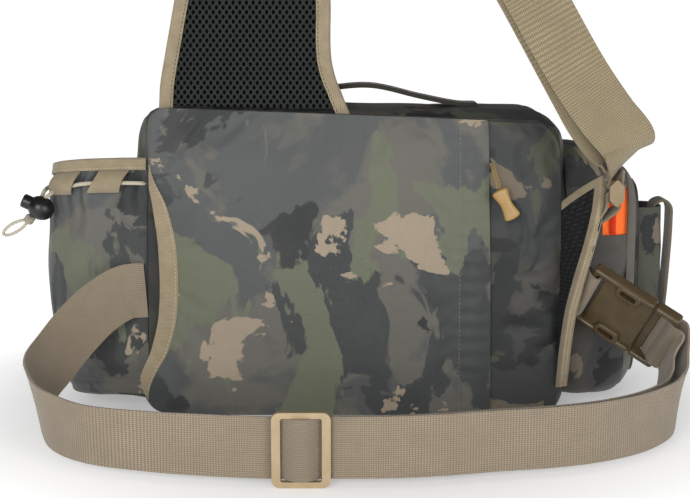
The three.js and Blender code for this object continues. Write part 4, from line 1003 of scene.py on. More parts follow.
print("moulding helpers ready")

# %% Zip pull and its cord
PULL_AT, PULL_ALONG = Vector((102.4, -18.6, 170)), Vector((0.47, 0.02, -0.88)).normalized()
PULL_LENGTH, PULL_END, PULL_WAIST = 24, 7.2, 4.3
PULL_END_THICK, PULL_WAIST_THICK, PULL_CORD_THICK = 3.1, 2.2, 1.2


def pull_place(u, v):
    """Waisted grip: round in section, fuller at both ends."""
    end = abs(2 * v - 1)
    cap = math.sqrt(max(1 - end**9, 0))
    wide = mix(PULL_WAIST, PULL_END, end**1.7) * cap
    thick = mix(PULL_WAIST_THICK, PULL_END_THICK, end**1.7) * cap
    turn = 2 * math.pi * u
    across = Vector((0.88, 0, 0.47)).normalized()
    out = PULL_ALONG.cross(across)
    along = PULL_ALONG * (PULL_LENGTH * v)
    return PULL_AT + along + across * (wide * math.cos(turn)) + out * (thick * math.sin(turn))


zip_pull = lay("zip_pull_grip", 28, 40, pull_place, closed=True)
edit(zip_pull, face_outward)
dress(zip_pull, PULL_PLASTIC, "plastic", "zip_pull")
PULL_ROUTE = [(102.6, -18.6, 171.2), (100.6, -18.4, 178), (99, -17, 184), (97.8, -14.4, 187)]
strand = Vector((0.85, 0, 0.3))
pull_route = [Vector(p) + strand for p in PULL_ROUTE] + [Vector((97.2, -13.6, 187.8))]
pull_route += [Vector(p) - strand for p in reversed(PULL_ROUTE)]
pull_cord, _ = tube("zip_pull_loop", pull_route, PULL_CORD_THICK, 6)
dress(pull_cord, PULL_CORD, "webbing", "zip_pull_cord")

# %% [markdown]
# ## Grab handle
# A folded strip of dark webbing is sewn to the top at both ends and stands up between them. It is
# swept along its route, and a bevel rounds its long edges.

# %% Grab handle
HANDLE = [(-76, 0), (-64, 0), (-42, 5.5), (-12, 11.5), (14, 13), (49, 5.5), (72, 1), (80, 0), (91, 0)]
HANDLE_DEPTH, HANDLE_WIDE, HANDLE_THICK = 42, 24, 3.4
HANDLE_SEAT = 0.65 + HANDLE_THICK / 2
INTO_DEPTH = Vector((0, 1, 0))
handle_run = []
for x, rise in HANDLE:
    at = Vector((x, HANDLE_DEPTH, top_at(x, HANDLE_DEPTH) + HANDLE_SEAT + rise))
    handle_run.append((at, INTO_DEPTH))
handle = ribbon("grab_handle_strip", handle_run, 8, HANDLE_WIDE, HANDLE_THICK)
round_edges(handle, 1.1)
dress(handle, DARK_WEB, "webbing", "grab_handle")

# %% [markdown]
# ## The open pocket on the left
# An elasticated bottle pocket: its cloth bulges from the body's side, gathers under a tape band at
# the rim, and a cream drawcord runs through two tape tunnels to a cord lock. The gathers are made
# by laying the cut with small folds that die out downwards, then letting it settle.

# %% Left pocket
LEFT_PLAN = [
    # out from the side, depth
    (0.3, 0.8), (18, 7.5), (44, 9), (58, 16), (65, 34), (66, 53),
    (64, 74), (56, 90), (42, 97), (18, 98), (0.8, 96),
]
LEFT_RISE = [(14, 0.86), (26, 0.93), (60, 0.98), (120, 0.98), (165, 0.96), (187, 0.95)]
LEFT_RIM, LEFT_FOOT, LEFT_RIM_FALL, LEFT_BAND = 187, 14, 0.17, 7.4
FOOT_SEAM, FOOT_SEAM_HELD = 24, (20, 27)
left_line = [Vector((out, y, 0)) for out, y in LEFT_PLAN]


def left_spot(share, z):
    spread = read_row(LEFT_RISE, z)[1]
    out, y, _ = curve_point(left_line, share)
    pulled = mix(y, BODY_DEPTH / 2, 0.5 * clamp(1 - spread))
    fall = LEFT_RIM_FALL * (y - LEFT_PLAN[1][1]) * ((z - LEFT_FOOT) / (LEFT_RIM - LEFT_FOOT))
    lift = 2.2 * clamp(1 - share / 0.3) * clamp((z - 120) / 60)
    height = z - max(fall, 0) + lift
    return Vector((-side_at(-1, y, height) - (out if out < 2 else out * spread), pulled, height))


def left_pocket_at(share, z, lift=0.0):
    share = clamp(share)
    along = left_spot(min(share + 0.005, 1), z) - left_spot(max(share - 0.005, 0), z)
    away = Vector((-along.y, along.x, 0)).normalized()
    return left_spot(share, z) + away * lift


left_stop = even(lambda t: left_spot(t, 120), 0, 1)


def left_cut(u, v):
    share, z = left_stop(1 - u), mix(LEFT_FOOT, LEFT_RIM, v)
    inside = rim(u, 8) * clamp((LEFT_RIM - 4 - z) / 12) * clamp((z - LEFT_FOOT) / 14)
    fold = math.sin(2 * math.pi * (share * 17 + 0.5 * ripple(share * 60, 0, z, 30)))
    gather = 0.9 * fold * math.exp(-(((z - 168) / 26) ** 2))
    crease = 1.5 * ripple(share * 120, 3, z * 0.7, 30)
    seam = 3.0 * math.exp(-(((z - FOOT_SEAM) / 2.2) ** 2)) * rim(u, 8)
    return left_pocket_at(share, z, (gather + crease - 0.8) * inside - seam)


def on_foot_seam(vertex):
    return FOOT_SEAM_HELD[0] * MM < vertex.co.z < FOOT_SEAM_HELD[1] * MM


left_pocket = lay("bottle_pocket", 110, 84, left_cut)
settle(left_pocket, 0.5, 0.015, 1.5, on_foot_seam)
sew(left_pocket, LEFT_CLOTH, "left_pocket")


# %% Left pocket's floor and rim band
def left_floor_place(u, v):
    outer = left_pocket_at(left_stop(1 - u), LEFT_FOOT)
    inner_y = mix(left_pocket_at(1, LEFT_FOOT).y, left_pocket_at(0, LEFT_FOOT).y, u)
    inner = Vector((-side_at(-1, inner_y, LEFT_FOOT) - 0.8, inner_y, LEFT_FOOT))
    spot = outer.lerp(inner, v)
    spot.z = LEFT_FOOT - 0.35 - 0.9 * math.sin(math.pi * v)
    return spot


left_floor = lay("bottle_pocket_floor", 60, 12, left_floor_place)
weld(left_floor, 1e-5)
wall(left_floor, CLOTH_THICK, 0.0)
dress(left_floor, CLOTH, "cloth", "left_pocket_base")


TAPE_THICK, TAPE_ROOM, TAPE_FLAT = 0.9, 1.35, 0.42


def folded(depth, half, v):
    """Outline of a tape folded over an edge: how deep, and how far to either side."""
    if v < TAPE_FLAT:
        return mix(depth, 0, v / TAPE_FLAT), half
    if v > 1 - TAPE_FLAT:
        return mix(0, depth, (v - 1 + TAPE_FLAT) / TAPE_FLAT), -half
    turn = math.pi * (v - TAPE_FLAT) / (1 - 2 * TAPE_FLAT)
    return -TAPE_ROOM * math.sin(turn), half * math.cos(turn)


def bind(name, along, place, node, flip=False):
    """Folded tape round an edge. One that is laid the other way round is flipped."""
    piece = lay(name, along, 20, place)
    if flip:
        edit(piece, bpy.ops.mesh.flip_normals)
    wall(piece, TAPE_THICK)
    dress(piece, TAPE, "webbing", node)


BAND_END, BAND_ROOM = 0.97, 1.6


def left_band_place(u, v):
    share = mix(BAND_END, 0.0, u)
    rim_at = left_pocket_at(share, LEFT_RIM)
    down = (left_pocket_at(share, LEFT_RIM - LEFT_BAND) - rim_at).normalized()
    out = square_to(down, left_pocket_at(share, LEFT_RIM, 1) - rim_at)
    depth, aside = folded(LEFT_BAND, CLOTH_THICK / 2 + BAND_ROOM, v)
    aside += 0.5 * ripple(share * 90, 0, depth, 9)
    return left_pocket_at(share, LEFT_RIM, -CLOTH_THICK / 2) + down * depth + out * aside


bind("rim_band", 150, left_band_place, "left_pocket_band")


def band_stitch(i):
    share = mix(0.6, 0.005, i / 90)
    outward = left_pocket_at(share, LEFT_RIM, 1) - left_pocket_at(share, LEFT_RIM)
    return in_frame(left_band_place((BAND_END - share) / BAND_END, 0.08)), outward


band_line = [band_stitch(i) for i in range(91)]
stitch_row("rim_band_stitches", *zip(*band_line), pitch=2.6, long=1.5, wide=0.6, thread=PALE_THREAD)

# %% Tunnels, drawcord, lock and knot
TUNNELS = [
    # piece, solid, start and end round the pocket, foot, head
    ("tunnel_back", "cord_loop_back", 0.062, 0.155, 163.5, 179.5),
    ("tunnel_corner", "cord_loop_corner", 0.215, 0.325, 163, 179.5),
]
for name, node, start, end, low, high in TUNNELS:

    def tunnel_place(u, v):
        lift = 1.7 + 5.2 * math.sin(math.pi * v) ** 0.7 + 0.5 * ripple(u * 20, v * 9, 0, 6)
        return left_pocket_at(mix(end, start, u) + 0.032 * (1 - v), mix(low, high, v), lift)

    tunnel = lay(name, 12, 20, tunnel_place)
    wall(tunnel, 1.2)
    dress(tunnel, TAPE, "webbing", node)

cord_lift = 0.35 + DRAWCORD / 2 + 0.6
near = [Vector((-147, 4.6, 171.5))]
for share in (0.03, 0.1, 0.2, 0.27, 0.33):
    near.append(left_pocket_at(share, 170.5 - 26 * max(share - 0.2, 0), cord_lift))
near.append(Vector((-222.6, 14.6, 161.5)))
near.append(LOCK_AT + Vector((0.5, -0.05, 0.8)).normalized() * (LOCK_RADIUS - 1))
drawcord, _ = tube("drawcord_near", near, DRAWCORD, 6)
dress(drawcord, CORD, "cord", "drawcord")
far = [left_pocket_at(mix(0.98, 0.44, i / 10), 170, cord_lift) for i in range(11)]
far.append(Vector((-227.4, 21, 163)))
far.append(LOCK_AT + Vector((0.2, 0.45, 0.8)).normalized() * (LOCK_RADIUS - 1))
drawcord_far, _ = tube("drawcord_around", far, DRAWCORD, 6)
dress(drawcord_far, CORD, "cord", "drawcord_far")

deselect()
BALL_RADIUS, BALL_STRETCH, BALL_DROP = 1.1 * LOCK_RADIUS, 1.12, 1.8
BUTTON_RADIUS, BUTTON_HIGH, BUTTON_RISE = 0.64 * LOCK_RADIUS, 12, 6.8
bpy.ops.mesh.primitive_uv_sphere_add(radius=BALL_RADIUS * MM, segments=40, ring_count=24)
lock = bpy.context.object
lock.name = "cord_lock_ball"
bpy.ops.transform.resize(value=(1, 1, BALL_STRETCH))
shift(lock, 0, 0, -BALL_DROP)
deselect()
bpy.ops.mesh.primitive_cylinder_add(vertices=40, radius=BUTTON_RADIUS * MM, depth=BUTTON_HIGH * MM)
button = bpy.context.object
shift(button, 0, 0, BUTTON_RISE)
round_edges(button, 1.4, 4)
combine(lock, button, "UNION")
lock_axis = Vector((-0.9, -0.05, 0.42)).normalized()
lock_side = lock_axis.orthogonal().normalized()
put(lock, LOCK_AT, lock_side, lock_axis.cross(lock_side))
dress(lock, LOCK_PLASTIC, "cord_lock", "cord_lock")


def turn_of_cord(loop, cord, turn):
    deselect()
    sizes = {"major_radius": loop * MM, "minor_radius": cord * MM, "rotation": turn}
    bpy.ops.mesh.primitive_torus_add(major_segments=24, minor_segments=14, **sizes)
    bpy.ops.object.transform_apply()
    return bpy.context.object


knot = turn_of_cord(2.4, 1.9, (0, 0, 0))
knot.name = "drawcord_knot"
combine(knot, turn_of_cord(2.3, 1.8, (1.3, 0.3, 0)), "UNION")
put(knot, KNOT_AT, Vector((0.3, 0.9, 0.2)).normalized(), Vector((0.9, -0.3, 0)).normalized())
dress(knot, CORD, "cord", "cord_knot")

# %% [markdown]
# ## The zipped pocket on the right
# A rounded pocket stands out from the right side. Its wall is laid as a ring that shrinks outwards,
# a swelled face closes it, and a bright zip shows on the wearer's side. The zip's opening is cut
# with a boolean after the wall has its thickness, so the edge shows real cloth.

# %% Right pocket
RIGHT_POCKET = [
    # reach, near side, far side, base, top, corner
    (0.8, 22, 102, 9, 197, 12),
    (14, 20, 104, 7, 196, 16),
    (30, 21, 103, 7, 190, 20),
    (44, 25, 99, 10, 181, 24),
    (53, 33, 92, 20, 169, 24),
]
RIGHT_SIDE, RIGHT_REACH, FACE_SWELL, FACE_SEAT = 157, 53, 4.5, 1.7
ZIP = {"left": 184, "right": 204, "depth": 25, "foot": 131, "head": 166, "coil": 192, "wide": 5}


def right_point(reach, s):
    _, near_y, far_y, base, top, corner = read_row(RIGHT_POCKET, reach)
    corners = [(far_y, base, corner), (far_y, top, corner), (near_y, top, corner), (near_y, base, corner)]
    return outline_point(corners, 0, s)


right_stop = even(lambda s: (*right_point(30, s), 0), 0, 8)


def right_ring(reach, u):
    return right_point(reach, right_stop(u) if u < 1 else 0)


def right_cut(u, v):
    reach = mix(RIGHT_POCKET[0][0], RIGHT_REACH, v)
    y, z = right_ring(reach, u)
    side = mix(side_at(1, y, z), RIGHT_SIDE, clamp(reach / 30))
    crease = mix(1.3, 2.6, clamp((95 - z) / 50)) * ripple(reach * 0.6, y, z * 0.8, 17) * rim(v, 4)
    inward = (Vector((0, 62, 100)) - Vector((0, y, z))).normalized()
    return Vector((side + reach, y, z)) + inward * (0.9 - crease) * rim(v, 6)


right_pocket = lay("side_pocket_wall", 150, 30, right_cut, closed=True)
settle(right_pocket, 0.4, 0.015, 1.2)
wall(right_pocket, CLOTH_THICK)
zip_sizes = (ZIP["right"] - ZIP["left"], CUT_DEPTH, ZIP["head"] - ZIP["foot"])
zip_x, zip_z = (ZIP["left"] + ZIP["right"]) / 2, (ZIP["foot"] + ZIP["head"]) / 2
zip_gap = block(zip_sizes, (zip_x, ZIP["depth"] - BODY_DEPTH / 2, zip_z))
combine(right_pocket, zip_gap, "DIFFERENCE")
dress(right_pocket, SHADED_RIGHT_CLOTH, "cloth", "right_pocket")


# %% Right pocket's face and zip
def face_at(y, z):
    rise = math.cos(math.pi / 2 * clamp((y - 62.5) / 31, -1, 1))
    height = math.cos(math.pi / 2 * clamp((z - 94) / 76, -1, 1))
    return RIGHT_SIDE + RIGHT_REACH + FACE_SEAT + FACE_SWELL * math.sqrt(max(rise * height, 0))


def right_face_place(u, v):
    y, z = chord(lambda s: right_point(RIGHT_REACH, s), u, v)
    return Vector((face_at(y, z) + 0.6 * ripple(0, y, z, 15) * rim(u, 4) * rim(v, 4), y, z))


right_face = lay_even("side_pocket_face", 36, 60, right_face_place)
sew(right_face, SHADED_SIDE_CLOTH, "right_pocket_face")
PIPING_REACH, PIPING_THICK = (46.5, 53.2), 0.8


def piping_place(u, v):
    reach = mix(*PIPING_REACH, v)
    y, z = right_ring(reach, u)
    outward = (Vector((0, y, z)) - Vector((0, 62, clamp(z, 60, 130)))).normalized()
    return Vector((RIGHT_SIDE + reach + 0.6 * v, y, z)) + outward * (0.9 + 0.9 * math.sin(math.pi * v))


piping = lay("pocket_seam_tape", 150, 6, piping_place, closed=True)
wall(piping, PIPING_THICK)
dress(piping, PIPING, "webbing")


def near_side_of_pocket(x, z):
    _, near_y, _, _, top, corner = read_row(RIGHT_POCKET, x - RIGHT_SIDE)
    above = clamp((z - top + corner) / corner, 0, 0.98)
    return near_y + corner * (1 - math.sqrt(1 - above**2))


def zip_sheet(name, low_x, high_x, low_z, high_z, set_back, across, along, lift):
    def place(u, v):
        x, z = mix(low_x, high_x, u), mix(low_z, high_z, v)
        slant = near_side_of_pocket(x + 0.5, z) - near_side_of_pocket(x - 0.5, z)
        rise = near_side_of_pocket(x, z + 0.5) - near_side_of_pocket(x, z - 0.5)
        steep = math.sqrt(1 + slant**2 + rise**2)
        return Vector((x, near_side_of_pocket(x, z) + set_back * steep - lift(u, v), z))

    return lay(name, across, along, place)


ZIP_BEHIND, ZIP_LAP, ZIP_TAPE_THICK = CLOTH_THICK + 0.35 + 0.7, 1.6, 1.0
COIL_BEFORE, COIL_INSET, COIL_TEETH, COIL_THICK = 1.5, 0.4, 24, 1.2
zip_box = (ZIP["left"] - ZIP_LAP, ZIP["right"] + ZIP_LAP, ZIP["foot"] - ZIP_LAP, ZIP["head"] + ZIP_LAP)
zip_tape = zip_sheet("zip_tape_strip", *zip_box, ZIP_BEHIND, 12, 20, lambda u, v: 0.0)
wall(zip_tape, ZIP_TAPE_THICK)
dress(zip_tape, GLOWING_ZIP_TAPE, "zip_tape", "right_zip_tape")
coil_sides = [ZIP["coil"] + hand * ZIP["wide"] / 2 for hand in (-1, 1)]
coil_box = (*coil_sides, ZIP["foot"] + COIL_INSET, ZIP["head"] - COIL_INSET)


def coil_lift(u, v):
    tooth = math.sin(2 * math.pi * v * COIL_TEETH) * (1 - abs(2 * u - 1) * 0.3)
    return 0.9 * math.sin(math.pi * u) + 0.45 * tooth


zip_coil = zip_sheet("zip_coil_row", *coil_box, ZIP_BEHIND - COIL_BEFORE, 12, 192, coil_lift)
wall(zip_coil, COIL_THICK)
dress(zip_coil, ZIP_TEETH, "zip_teeth", "right_zip_coil")

# %% [markdown]
# ## Tool sleeve and its loop
# A flat sleeve for pliers sits on the pocket's face, closed below, with a webbing loop over it.

# %% Tool sleeve
SLEEVE_PLAN = [(0.6, 42), (9, 42), (17, 47), (20, 62), (17, 77), (9, 82), (0.6, 82)]
SLEEVE_RISE = [(48, 0.72), (62, 0.9), (105, 1), (149, 1)]
SLEEVE_FOOT, SLEEVE_RIM = 48, 149
sleeve_line = [Vector((out, y, 0)) for out, y in SLEEVE_PLAN]


def sleeve_spot(share, z):
    out, y, _ = curve_point(sleeve_line, share)
    spread = 1 if out < 1 else read_row(SLEEVE_RISE, z)[1]
    return Vector((face_at(y, z) + out * spread, y, z))


def sleeve_cut(u, v):
    z = mix(SLEEVE_FOOT, SLEEVE_RIM, v)
    spot = sleeve_spot(u, z)
    spot.x -= 0.8 * (0.5 + 0.5 * ripple(spot.x, spot.y, z, 14)) * rim(u, 6) * rim(v, 6)
    return spot


sleeve = lay("tool_sleeve_cloth", 40, 50, sleeve_cut)
sew(sleeve, SHADED_SIDE_CLOTH, "tool_sleeve")


def sleeve_floor_place(u, v):
    outer = sleeve_spot(u, SLEEVE_FOOT)
    inner = Vector((face_at(outer.y, SLEEVE_FOOT) + 0.6, outer.y, SLEEVE_FOOT))
    spot = outer.lerp(inner, v)
    spot.z = SLEEVE_FOOT - 1.35 - 0.6 * math.sin(math.pi * v)
    return spot


sleeve_floor = lay("tool_sleeve_floor", 40, 8, sleeve_floor_place, closed=True)
wall(sleeve_floor, CLOTH_THICK, 0.0)
dress(sleeve_floor, SHADED_SIDE_CLOTH, "cloth", "tool_sleeve_base")

TOOL_LOOP = [
    (227.5, 128), (227.4, 143), (229.8, 150.6), (236.5, 152.8), (241, 148.5),
    (241.8, 137), (240.4, 100), (238.5, 72), (236.5, 58),
]
LOOP_DEPTH, LOOP_WIDE, LOOP_THICK = 62, 20, 2
tool_run = [(Vector((x, LOOP_DEPTH, z)), INTO_DEPTH) for x, z in TOOL_LOOP]
tool_loop = ribbon("tool_loop_strip", tool_run, 8, LOOP_WIDE, LOOP_THICK)
dress(tool_loop, LOOP_WEB, "webbing", "tool_strap")

# %% [markdown]
# ## Hip wing
# A thin padded fin of black spacer mesh grows from the right seam towards the wearer. Its free
# edges are bound with folded tape. The mesh is sewn at its edges and pushed out a little by air.

# %% Hip wing and its binding
WING = [
    # height at the seam, free edge x, y, z, crown
    (22, 151.8, -9, 24, 0),
    (52, 153, -14, 52, 0),
    (80, 155.5, -19.5, 80, 0),
    (104, 160.5, -24.5, 106, 0),
    (125, 167, -29, 134, 0),
    (143, 171.5, -31, 158, 0.6),
    (157.5, 173, -32, 181, 1),
]
WING_SEAM, WING_THICK, WING_HEM, WING_TAPE_ROOM = (148.9, -2.0), 3.0, 5.5, 1.9


def wing_place(u, v):
    root = mix(WING[0][0], WING[-1][0], v)
    _, x, y, z, crown = read_row(WING, root)
    spot = Vector((*WING_SEAM, root)).lerp(Vector((x, y, z)), u)
    spot.z += crown * math.sin(math.pi * u)
    return spot


wing = lay("hip_wing_mesh", 24, 80, wing_place)
settle(wing, 0.8, 0.02, 1.2)
refine(wing)
wall(wing, WING_THICK)
dress(wing, WING_MESH, "air_mesh", "hip_wing")


def wing_edge_place(u, v):
    spot = wing_place(1, u)
    inward = (wing_place(0.9, u) - spot).normalized()
    up = (wing_place(1, min(u + 0.01, 1)) - wing_place(1, max(u - 0.01, 0))).normalized()
    out = (-inward).cross(up).normalized()
    room = (wing_place(0, u) - spot).length - 2
    depth, aside = folded(min(WING_HEM, room), WING_THICK / 2 + WING_TAPE_ROOM, v)
    return spot - out * (WING_THICK / 2) + inward * depth + out * aside


bind("wing_edge_tape", 110, wing_edge_place, "wing_binding_edge", flip=True)


def wing_top_place(u, v):
    share = mix(0.06, 0.86, u)
    spot = wing_place(share, 1)
    down = (wing_place(share, 0.94) - spot).normalized()
    along = (wing_place(share + 0.02, 1) - wing_place(share - 0.02, 1)).normalized()
    out = along.cross(-down).normalized()
    depth, aside = folded(WING_HEM, WING_THICK / 2 + TAPE_ROOM, v)
    return spot - out * (WING_THICK / 2) + down * depth + out * aside


bind("wing_top_tape", 30, wing_top_place, "wing_binding_top")

# %% [markdown]
# ## Waist belt
# One length of webbing leaves the left seam, lies in a loop on the floor in front of the bag, goes
# through the slider, round the buckle's bar and back to the slider. Webbing hardly stretches and
# never crumples, so it is swept along its route and not simulated.

# %% Belt route
BELT = [
    # x, depth, z, lean to the side, lean in depth
    (-150.8, -0.6, 94.2, 0, 0),
    (-165, -3.4, 93.2, -0.1, 0),
    (-182, -11, 84, -0.39, -0.1),
    (-198, -26, 69, -0.56, -0.16),
    (-209, -44, 55, -0.56, -0.17),
    (-215, -62, 47, -0.48, -0.18),
    (-216, -82, 39, -0.22, -0.06),
    (-208, -102, 32, -0.2, 0),
    (-195, -118, 28.5, -0.1, 0),
    (-172, -135, 26.5, 0, -0.1),
    (-131, -147, 25.5, 0, -0.05),
    (-97, -152.5, 25, 0, 0),
    (-68, -157, 25, 0, 0),
]
BELT_RIGHT = [
    # and the distance of the layer that comes back
    (2, -158, 25, 0, 0, 2.4),
    (28, -157, 25, 0, 0, 2.4),
    (60, -152, 25, 0, 0, 2.6),
    (92, -144, 25, 0, 0, 3),
    (125, -137.5, 25, 0, 0, 3.4),
    (158, -126, 25, 0, 0, 4),
    (186, -109, 25, 0, 0, 4.6),
    (205, -93, 26, 0.02, -0.03, 5.4),
    (218, -78, 28, 0.05, -0.1, 7),
    (225, -63, 33, 0.1, -0.27, 9),
    (227.5, -49, 42, 0.2, -0.5, 9.5),
]
WEB_WIDE, WEB_THICK, GAP = 40.0, 1.6, 0.35
SLIDER_AT = Vector((-33.3, -161.5, 24.6))
SLIDER = {"length": 37, "height": 48.4, "rim": 5.5, "bar": 6, "thick": 4.4}
BUCKLE = {"half": 35, "half_width": 25.5, "thick": 10, "bar": 4.5, "opening": 7, "mouth": 14.75}
BUCKLE_AT = Vector((195, -16.4, 78.5))
BUCKLE_ALONG = Vector((0.81, -0.306, -0.497)).normalized()
buckle_lean = Vector((0.28, -0.54, 0.79))
BUCKLE_ACROSS = (buckle_lean - BUCKLE_ALONG * buckle_lean.dot(BUCKLE_ALONG)).normalized()
BUCKLE_OUT = BUCKLE_ALONG.cross(BUCKLE_ACROSS)
UPRIGHT = Vector((0, 0, 1))


def buckle_spot(along, out):
    return BUCKLE_AT + BUCKLE_ALONG * along + BUCKLE_OUT * out


def weave_steps():
    """Steps of a webbing past a slider: behind its rims and in front of its bar."""
    behind = SLIDER["thick"] / 2 + WEB_THICK / 2 + GAP + 0.05
    rim_at = SLIDER["length"] / 2 - SLIDER["rim"]
    bar = SLIDER["bar"] / 2 + 0.4
    half = (rim_at + bar) / 2
    left = [(-rim_at - 7, -behind), (-rim_at - 0.4, -behind), (-half, 0), (-bar, behind)]
    return left + [(-along, out) for along, out in reversed(left)]


belt_run = [(Vector((x, y, z)), Vector((a, b, 1))) for x, y, z, a, b in BELT]
for along, front in weave_steps():
    belt_run.append((Vector((SLIDER_AT.x + along, SLIDER_AT.y - front, 25)), UPRIGHT))
belt_run += [(Vector((x, y, z)), Vector((a, b, 1))) for x, y, z, a, b, _ in BELT_RIGHT]
half, over = BUCKLE["half"], BUCKLE["thick"] / 2 + GAP + 0.4
slot_at = half - BUCKLE["bar"] - BUCKLE["opening"] / 2
bar_turn = [
    # past the end of the plug, out from its middle plane
    (4, -over - 0.3), (-2, -over), (-8, -over + 0.4), (-12.9, -4.4), (-11.2, -2),
    (-7.6, 0.6), (-5.4, 3.6), (-2.6, over), (0.8, over + 0.2), (4.6, over + 0.3),
]
belt_run += [(buckle_spot(half + past, out), BUCKLE_ACROSS) for past, out in bar_turn]
back = BELT_RIGHT[::-1]
for i, (x, y, z, a, b, split) in enumerate(back):
    before, after = back[min(i + 1, len(back) - 1)], back[max(i - 1, 0)]
    inward = Vector((before[1] - after[1], after[0] - before[0], 0)).normalized()
    belt_run.append((Vector((x, y, z)) + inward * split, Vector((a, b, 1))))
belt_run.append((Vector((SLIDER_AT.x + 3, -155.4, 25)), UPRIGHT))
belt = ribbon("waist_belt_webbing", belt_run, 8, WEB_WIDE, WEB_THICK)
dress(belt, BELT_WEB, "webbing", "waist_belt")


# %% Slider of the belt
def slider_plate(name):
    long, bar = SLIDER["length"], SLIDER["bar"]
    piece = plate(name, rounded_box(long, SLIDER["height"], 5), SLIDER["thick"])
    opening = (long - 2 * SLIDER["rim"] - bar) / 2
    for hand in (-1, 1):
        cut_slot(piece, hand * (opening + bar) / 2, 0, opening, WEB_WIDE + 1, 1.5)
    round_edges(piece, 1.1)
    return piece


belt_slider = put(slider_plate("belt_slider_frame"), SLIDER_AT, Vector((1, 0, 0)), UPRIGHT)
dress(belt_slider, PLASTIC, "plastic", "belt_slider")

# %% [markdown]
# ## Buckle
# A side-release buckle: a socket, tied to the bag by a tab, and a plug that holds the belt. Two round
# rails run along both, with a hollowed plate between them and a window for each release button. It
# is put together from bevelled bars with booleans, modelled flat, and then put where it belongs.

# %% Buckle
RAIL_ACROSS, RAIL_HIGH, BETWEEN_RAILS = (20.6, 25.6), (-5.2, 5.2), (-22, 22)
WINDOW_AT, WINDOW_LONG, WINDOW_WIDE = (-5, 19.6), 13, 4.2


def bar(x, y, z, bevel):
    """Bar between the two values given for each direction, with its edges rounded."""
    sides = (x, y, z)
    piece = block([high - low for low, high in sides], [(low + high) / 2 for low, high in sides])
    round_edges(piece, bevel, 5)
    return piece


def rails(x, bevel):
    inner, outer = RAIL_ACROSS
    return [bar(x, across, RAIL_HIGH, bevel) for across in ((inner, outer), (-outer, -inner))]


def joined(name, pieces):
    whole = pieces[0]
    for other in pieces[1:]:
        combine(whole, other, "UNION")
    whole.name = name
    return whole


mouth = BUCKLE["mouth"]
socket_bars = [bar((-25, mouth), (-21.5, 21.5), (-4.4, 2.4), 1.1)]
socket_bars += rails((-half, mouth), 2.3)
socket_bars.append(bar((-half, BUCKLE["bar"] - half), BETWEEN_RAILS, (-3.4, 3.4), 1.6))
for hand in (1, -1):
    lip = plate("window_lip", rounded_box(WINDOW_LONG + 7, WINDOW_WIDE + 6.4, 5), 11)
    round_edges(lip, 1.4, 4)
    shift(lip, WINDOW_AT[0], hand * WINDOW_AT[1], 0.3)
    socket_bars.append(lip)
socket = joined("buckle_socket_shell", socket_bars)
for hand in (1, -1):
    window = plate("window", rounded_box(WINDOW_LONG, WINDOW_WIDE, 2), 20)
    shift(window, WINDOW_AT[0], hand * WINDOW_AT[1], 8.5)
    combine(socket, window, "DIFFERENCE")
put(socket, BUCKLE_AT, BUCKLE_ALONG, BUCKLE_ACROSS)
dress(socket, DARK_AND_SHADED_BUCKLE_PLASTIC, "plastic", "buckle_socket", angle=40)

root = mouth + GAP
plug_rails = rails((root, half), 2.4)
plug_plate = bar((root, root + 6.2), BETWEEN_RAILS, (-4.8, -2.6), 0.9)
plug_bar = bar((half - BUCKLE["bar"], half), BETWEEN_RAILS, (-4.2, 4.2), 2)
plug = joined("buckle_plug_frame", [plug_plate, *plug_rails, plug_bar])
put(plug, BUCKLE_AT, BUCKLE_ALONG, BUCKLE_ACROSS)
dress(plug, DARK_AND_SHADED_BUCKLE_PLASTIC, "plastic", "buckle_plug", angle=40)

tab_over = BUCKLE["thick"] / 2 + WEB_THICK / 2 + GAP + 0.1
tab_steps = [
    (-half - 6, -tab_over - 0.2), (-half - 2, -tab_over - 0.2), (-half + 2, -tab_over),
    (-slot_at - 3.1, -tab_over - 0.1), (-slot_at - 1.6, -4.6), (-slot_at - 1.2, 0),
    (-slot_at - 1.6, 4.6), (-slot_at - 3.1, tab_over + 0.1),
    (-half + 2, tab_over), (-half - 1.2, tab_over - 1.8), (-half - 4, 1.4),
]
tab_run = [(Vector((155.6, 5, 100.6)), UPRIGHT)]
tab_run += [(buckle_spot(along, out), BUCKLE_ACROSS) for along, out in tab_steps]


def tab_width(v):
    return mix(24, WEB_WIDE - 2, clamp(v * 4.6))


tab = ribbon("buckle_tab_webbing", tab_run, 6, tab_width, WEB_THICK)
dress(tab, BELT_WEB, "webbing", "buckle_tab")

# %% [markdown]
# ## Shoulder pad
# The strap starts as a broad pad of black spacer mesh, bound on both sides with tape. Padding again:
# the closed form is pinned under its bindings and puffed with air, so the mesh crowns between them.

# %% Shoulder pad
PAD_ROWS = [
    # height, middle x, middle y, reach left, reach right, fall
    (226.5, -70, 4, 68, 68, 0.024),
    (242, -70.5, 4.4, 66, 59, 0.02),
    (262, -71, 5, 62, 54, 0.01),
    (302, -71, 4.5, 54, 53.5, 0.02),
    (350, -67, 4, 47, 47, 0.12),
    (400, -57.5, 3, 40, 40, 0.24),
    (445, -43.5, 2, 32, 32, 0.38),
    (474, -30, 1, 25, 25, 0.46),
]
PAD_EDGE, PAD_SHOULDER, PAD_MIDDLE, PAD_HEM = 2.4, 3.0, 4.3, 9.0
PAD_FREE, MESH_DEPTH = (230, 470), 1.1


def pad_frame(v):
    z, x, y, left, right, fall = read_row(PAD_ROWS, mix(PAD_ROWS[0][0], PAD_ROWS[-1][0], v))
    return Vector((x, y, z)), Vector((1, 0, -fall)).normalized(), left, right


